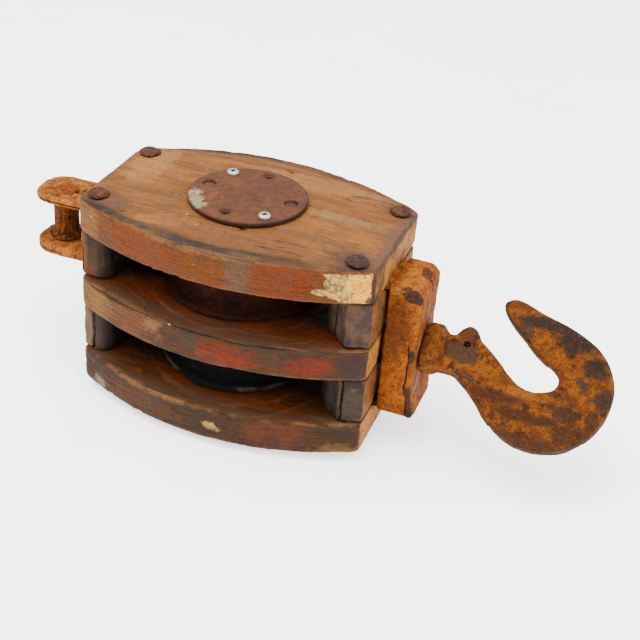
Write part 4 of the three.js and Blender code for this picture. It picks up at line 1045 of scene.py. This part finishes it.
def build_iron():
    ochre, orange, umber = (186, 118, 44), (148, 80, 28), (80, 42, 22)
    slate = (66, 54, 46)
    corner = (CROSSHEAD[1][0] - 9, CROSSHEAD[0][1], CROSSHEAD[1][2] - 6)
    axis = np.array(frame_joint("hook_swivel")) * METRE
    worn_crosshead(rusty(
        "crosshead_rust", 20.0, (ochre, orange, umber, slate), 0.5,
        patches=(
            ((corner[0] - 1, corner[1], corner[2] + 1), (10, 7, 6.5), (56, 44, 40), 0.95),
            ((corner[0] - 9, corner[1], corner[2] + 7), (7, 7, 3.5), (66, 52, 44), 0.9),
            ((CROSSHEAD[0][0] + 6, CROSSHEAD[0][1], corner[2] + 4), (3.5, 4, 3.5), (160, 132, 94), 0.4),
            ((corner[0], 8, CROSSHEAD[1][2]), (7, 9, 6), (72, 42, 32), 0.85),
            ((CROSSHEAD[1][0] - 2, CROSSHEAD[0][1], 42), (5, 5, 5), (60, 40, 30), 0.85),
        ),
        zones=(
            ((143, CROSSHEAD[0][1], 122), (12, 6, 22), (104, 56, 24), 0.7),
            ((138, CROSSHEAD[0][1], 96), (9, 6, 13), (100, 54, 26), 0.5),
            ((corner[0] - 8, -8, CROSSHEAD[1][2]), (10, 18, 6), (196, 134, 62), 0.7),
            ((145, CROSSHEAD[0][1], 58), (10, 6, 16), (182, 110, 36), 0.5),
            ((CROSSHEAD[1][0] + 2, -12, 110), (6, 14, 50), (196, 140, 88), 0.7),
        ),
    ))
    worn_hook(rusty(
        "hook_rust", 24.0, ((158, 96, 30), (112, 60, 22), (60, 38, 24), (62, 46, 36)), 0.85,
        patches=(
            ((axis[0] + 46, -8, axis[2] + 8), (13, 11, 8), (84, 64, 46), 0.95),
            ((axis[0] + 8, -6, axis[2] + 24), (6, 5, 6), (86, 66, 46), 0.8),
            ((236, 20, 122), (5, 5, 4), (74, 58, 42), 0.9),
            ((237, 9, 112), (7, 6, 3.5), (52, 42, 34), 0.9),
            ((284, -28, 80), (9, 7, 8), (76, 52, 36), 0.85),
            ((304, -26, 80), (6, 7, 9), (70, 50, 36), 0.75),
        ),
        zones=(
            ((195, 7, 110), (8, 8, 5), (84, 56, 38), 0.8),
            ((212, 30, 130), (5, 5, 5), (84, 56, 40), 0.8),
            ((226, 24, 125), (13, 6, 6), (172, 106, 42), 0.7),
            # dark rust and painted shadow: the next four zones lay a dark band along the bend's outer side
            ((250, 24, 125), (26, 6, 6), (60, 48, 38), 1.0),
            ((280, 17, 119), (18, 8, 8), (54, 44, 37), 1.0),
            ((297, 4, 107), (12, 9, 9), (56, 45, 38), 1.0),
            ((309, -14, 92), (7, 10, 12), (58, 46, 38), 0.95),
            # painted shade: the next five zones darken the hook's downward-facing lower bend and its bevel
            ((224, -27, 81), (28, 5, 5), (78, 46, 28), 0.9),
            ((256, -35, 75), (26, 5, 5), (66, 42, 28), 0.9),
            ((278, -22, 86), (12, 8, 12), (74, 46, 30), 0.7),
            ((246, -50, 60), (52, 7, 7), (86, 54, 34), 0.9),
            ((292, -38, 68), (16, 9, 9), (80, 50, 32), 0.85),
            ((252, -21, 87), (27, 4, 4.5), (164, 104, 26), 0.8),
            ((222, -14, 94), (28, 5, 6), (152, 90, 28), 0.5),
            ((266, 2, 106), (24, 6, 7), (156, 90, 26), 0.5),
        ),
        coarse=0.9,
    ))
    rust = ((200, 140, 78), (160, 98, 48), (100, 56, 28), slate)
    becket = rusty("becket_rust", 28.0, rust, 0.35, coarse=0.8)
    worn_strap("upper_strap", 60, becket, 1.0, dip=2.2)
    worn_strap("middle_strap", 64, becket, 1.0)
    rust = ((158, 92, 36), (112, 60, 24), (66, 38, 20), slate)
    worn_spool(rusty("spool_rust", 31.0, rust, 0.3, coarse=0.7))
    worn_plate("upper_cover_plate", 0.62, plate_material("plate_rust", 35.0, True), 1, 90)
    worn_plate("lower_cover_plate", 0.9, plate_material("under_plate_rust", 38.0, False), -1, 94)
    rust = ((128, 84, 62), (98, 64, 50), (62, 42, 36), (84, 68, 60))
    rivet = rusty("rivet_rust", 41.0, rust, 0.5, pitting=0.8, coarse=0.5)
    rust = ((98, 76, 68), (78, 60, 56), (50, 38, 36), (70, 60, 60))
    dark_rivet = rusty("dark_rivet_rust", 42.0, rust, 0.5, pitting=0.8, coarse=0.5)
    for seed, name in enumerate(("far_tail", "near_tail", "far_hook", "near_hook")):
        worn_rivet("rivet_" + name, 100 + 4 * seed, dark_rivet if name == "near_hook" else rivet)
    # painted shade: the sheaves' rust darkened, the upper to deep red and the lower to near black, for the
    # shade inside the slots
    rust = ((78, 28, 8), (52, 18, 6), (26, 12, 6), (34, 20, 12))
    red = rusty("upper_sheave_shaded_rust", 44.0, rust, 0.3, flecks=0.0)
    rust = ((17, 13, 10), (11, 9, 7), (7, 6, 5), (128, 116, 98))
    black = rusty("lower_sheave_shaded_rust", 47.0, rust, 0.0, flecks=0.0)
    worn_sheave("upper_sheave", 120, red)
    worn_sheave("lower_sheave", 124, black)
    zinc = metal_material("bright_zinc", 50.0, (226, 224, 214), (150, 130, 84), 0.75, 0.32, 0.56)
    fine_screw("plate_screw_1", 130, zinc)
    fine_screw("plate_screw_2", 133, zinc)


def dress_carried_nodes():
    """Materials for the CAD solids that stay: the ones inside, and the small fasteners underneath."""
    greasy = ((70, 44, 26), (50, 32, 20), (30, 20, 14), (48, 40, 34))
    dry = ((170, 100, 48), (128, 70, 34), (78, 46, 28), (80, 66, 58))
    plain = {
        "axle": metal_material("axle_steel_worn", 53.0, (150, 146, 140), (92, 62, 44), 0.8, 0.35),
        "bush": metal_material("bush_bronze_worn", 55.0, (186, 142, 78), (98, 74, 44), 0.85, 0.35),
        "dark": rusty("greasy_iron_rust", 59.0, greasy, 0.5),
        "iron": rusty("inner_iron_rust", 57.0, dry, 0.5),
    }
    dressed = {
        "axle": "axle",
        "upper_bush": "bush",
        "lower_bush": "bush",
        "lower_strap": "dark",
        "swivel_nut": "dark",
    }
    for name, node in frame["nodes"].items():
        if node.hide_render:
            continue
        node.data.materials.clear()
        node.data.materials.append(plain[dressed.get(name, "iron")])


# -------------------------------------------------------- floor, light, camera


def build_floor():
    size = 6.0
    mesh = bpy.data.meshes.new("floor")
    corners = [(-size, -size, 0), (size, -size, 0), (size, size, 0), (-size, size, 0)]
    mesh.from_pydata(corners, [], [(0, 1, 2, 3)])
    floor = bpy.data.objects.new("floor", mesh)
    floor.location.z = -0.0003
    bpy.context.scene.collection.objects.link(floor)
    paint = Paint("floor_white")
    speck = paint.noise(140, 4.0, 0.6)
    colour = paint.mix(paint.range(speck, 0.35, 0.7), (0.92, 0.92, 0.92), (0.89, 0.885, 0.88))
    floor.data.materials.append(paint.finish(colour, 0.8, paint.bump(speck, 0.05)))
    paint.shader.inputs["Emission Color"].default_value = (1.0, 1.0, 1.0, 1.0)
    paint.shader.inputs["Emission Strength"].default_value = 1.35


def aim(obj, place, target):
    obj.location = place
    obj.rotation_euler = (Vector(target) - Vector(place)).to_track_quat("-Z", "Y").to_euler()


def build_light():
    world = bpy.data.worlds.new("studio")
    bpy.context.scene.world = world
    world.use_nodes = True
    nodes, links = world.node_tree.nodes, world.node_tree.links
    sky = nodes["Background"]
    sky.inputs["Color"].default_value = (1.0, 0.99, 0.97, 1.0)
    split = nodes.new("ShaderNodeSeparateXYZ")
    rise = nodes.new("ShaderNodeMapRange")
    for socket, number in zip(rise.inputs[1:5], (-0.1, 0.9, 0.7, 3.3)):  # dimmer at the horizon than overhead
        socket.default_value = number
    links.new(nodes.new("ShaderNodeTexCoord").outputs["Generated"], split.inputs[0])
    links.new(split.outputs["Z"], rise.inputs[0])
    links.new(rise.outputs[0], sky.inputs["Strength"])
    for name, place, size, power in (
        ("key", (-0.3, -0.7, 2.3), 1.8, 100.0),
        ("fill", (1.7, -0.7, 1.2), 1.4, 24.0),
    ):
        lamp = bpy.data.lights.new(name, "AREA")
        lamp.size = size
        lamp.energy = power
        obj = bpy.data.objects.new(name, lamp)
        bpy.context.scene.collection.objects.link(obj)
        aim(obj, place, (0.05, 0.0, 0.09))


def build_camera():
    """A camera above and in front of the near side, a little towards the hook."""
    target = Vector((0.06874, 0.00225, 0.0885))
    distance = 1.030
    around, above, tilt = math.radians(17.9), math.radians(32.53), math.radians(4.9)
    back = Vector((
        math.sin(around) * math.cos(above), -math.cos(around) * math.cos(above), math.sin(above),
    ))
    level = Vector((math.cos(around), math.sin(around), 0.0))
    upright = back.cross(level)
    right = math.cos(tilt) * level + math.sin(tilt) * upright
    top = -math.sin(tilt) * level + math.cos(tilt) * upright
    data = bpy.data.cameras.new("camera")
    data.lens = 69.3
    data.sensor_width = 36.0
    camera = bpy.data.objects.new("camera", data)
    bpy.context.scene.collection.objects.link(camera)
    turn = Matrix((right, top, back)).transposed().to_4x4()
    camera.matrix_world = Matrix.Translation(target + back * distance) @ turn
    bpy.context.scene.camera = camera


build_camera()
build_light()
build_floor()
build_wood()
build_iron()
dress_carried_nodes()
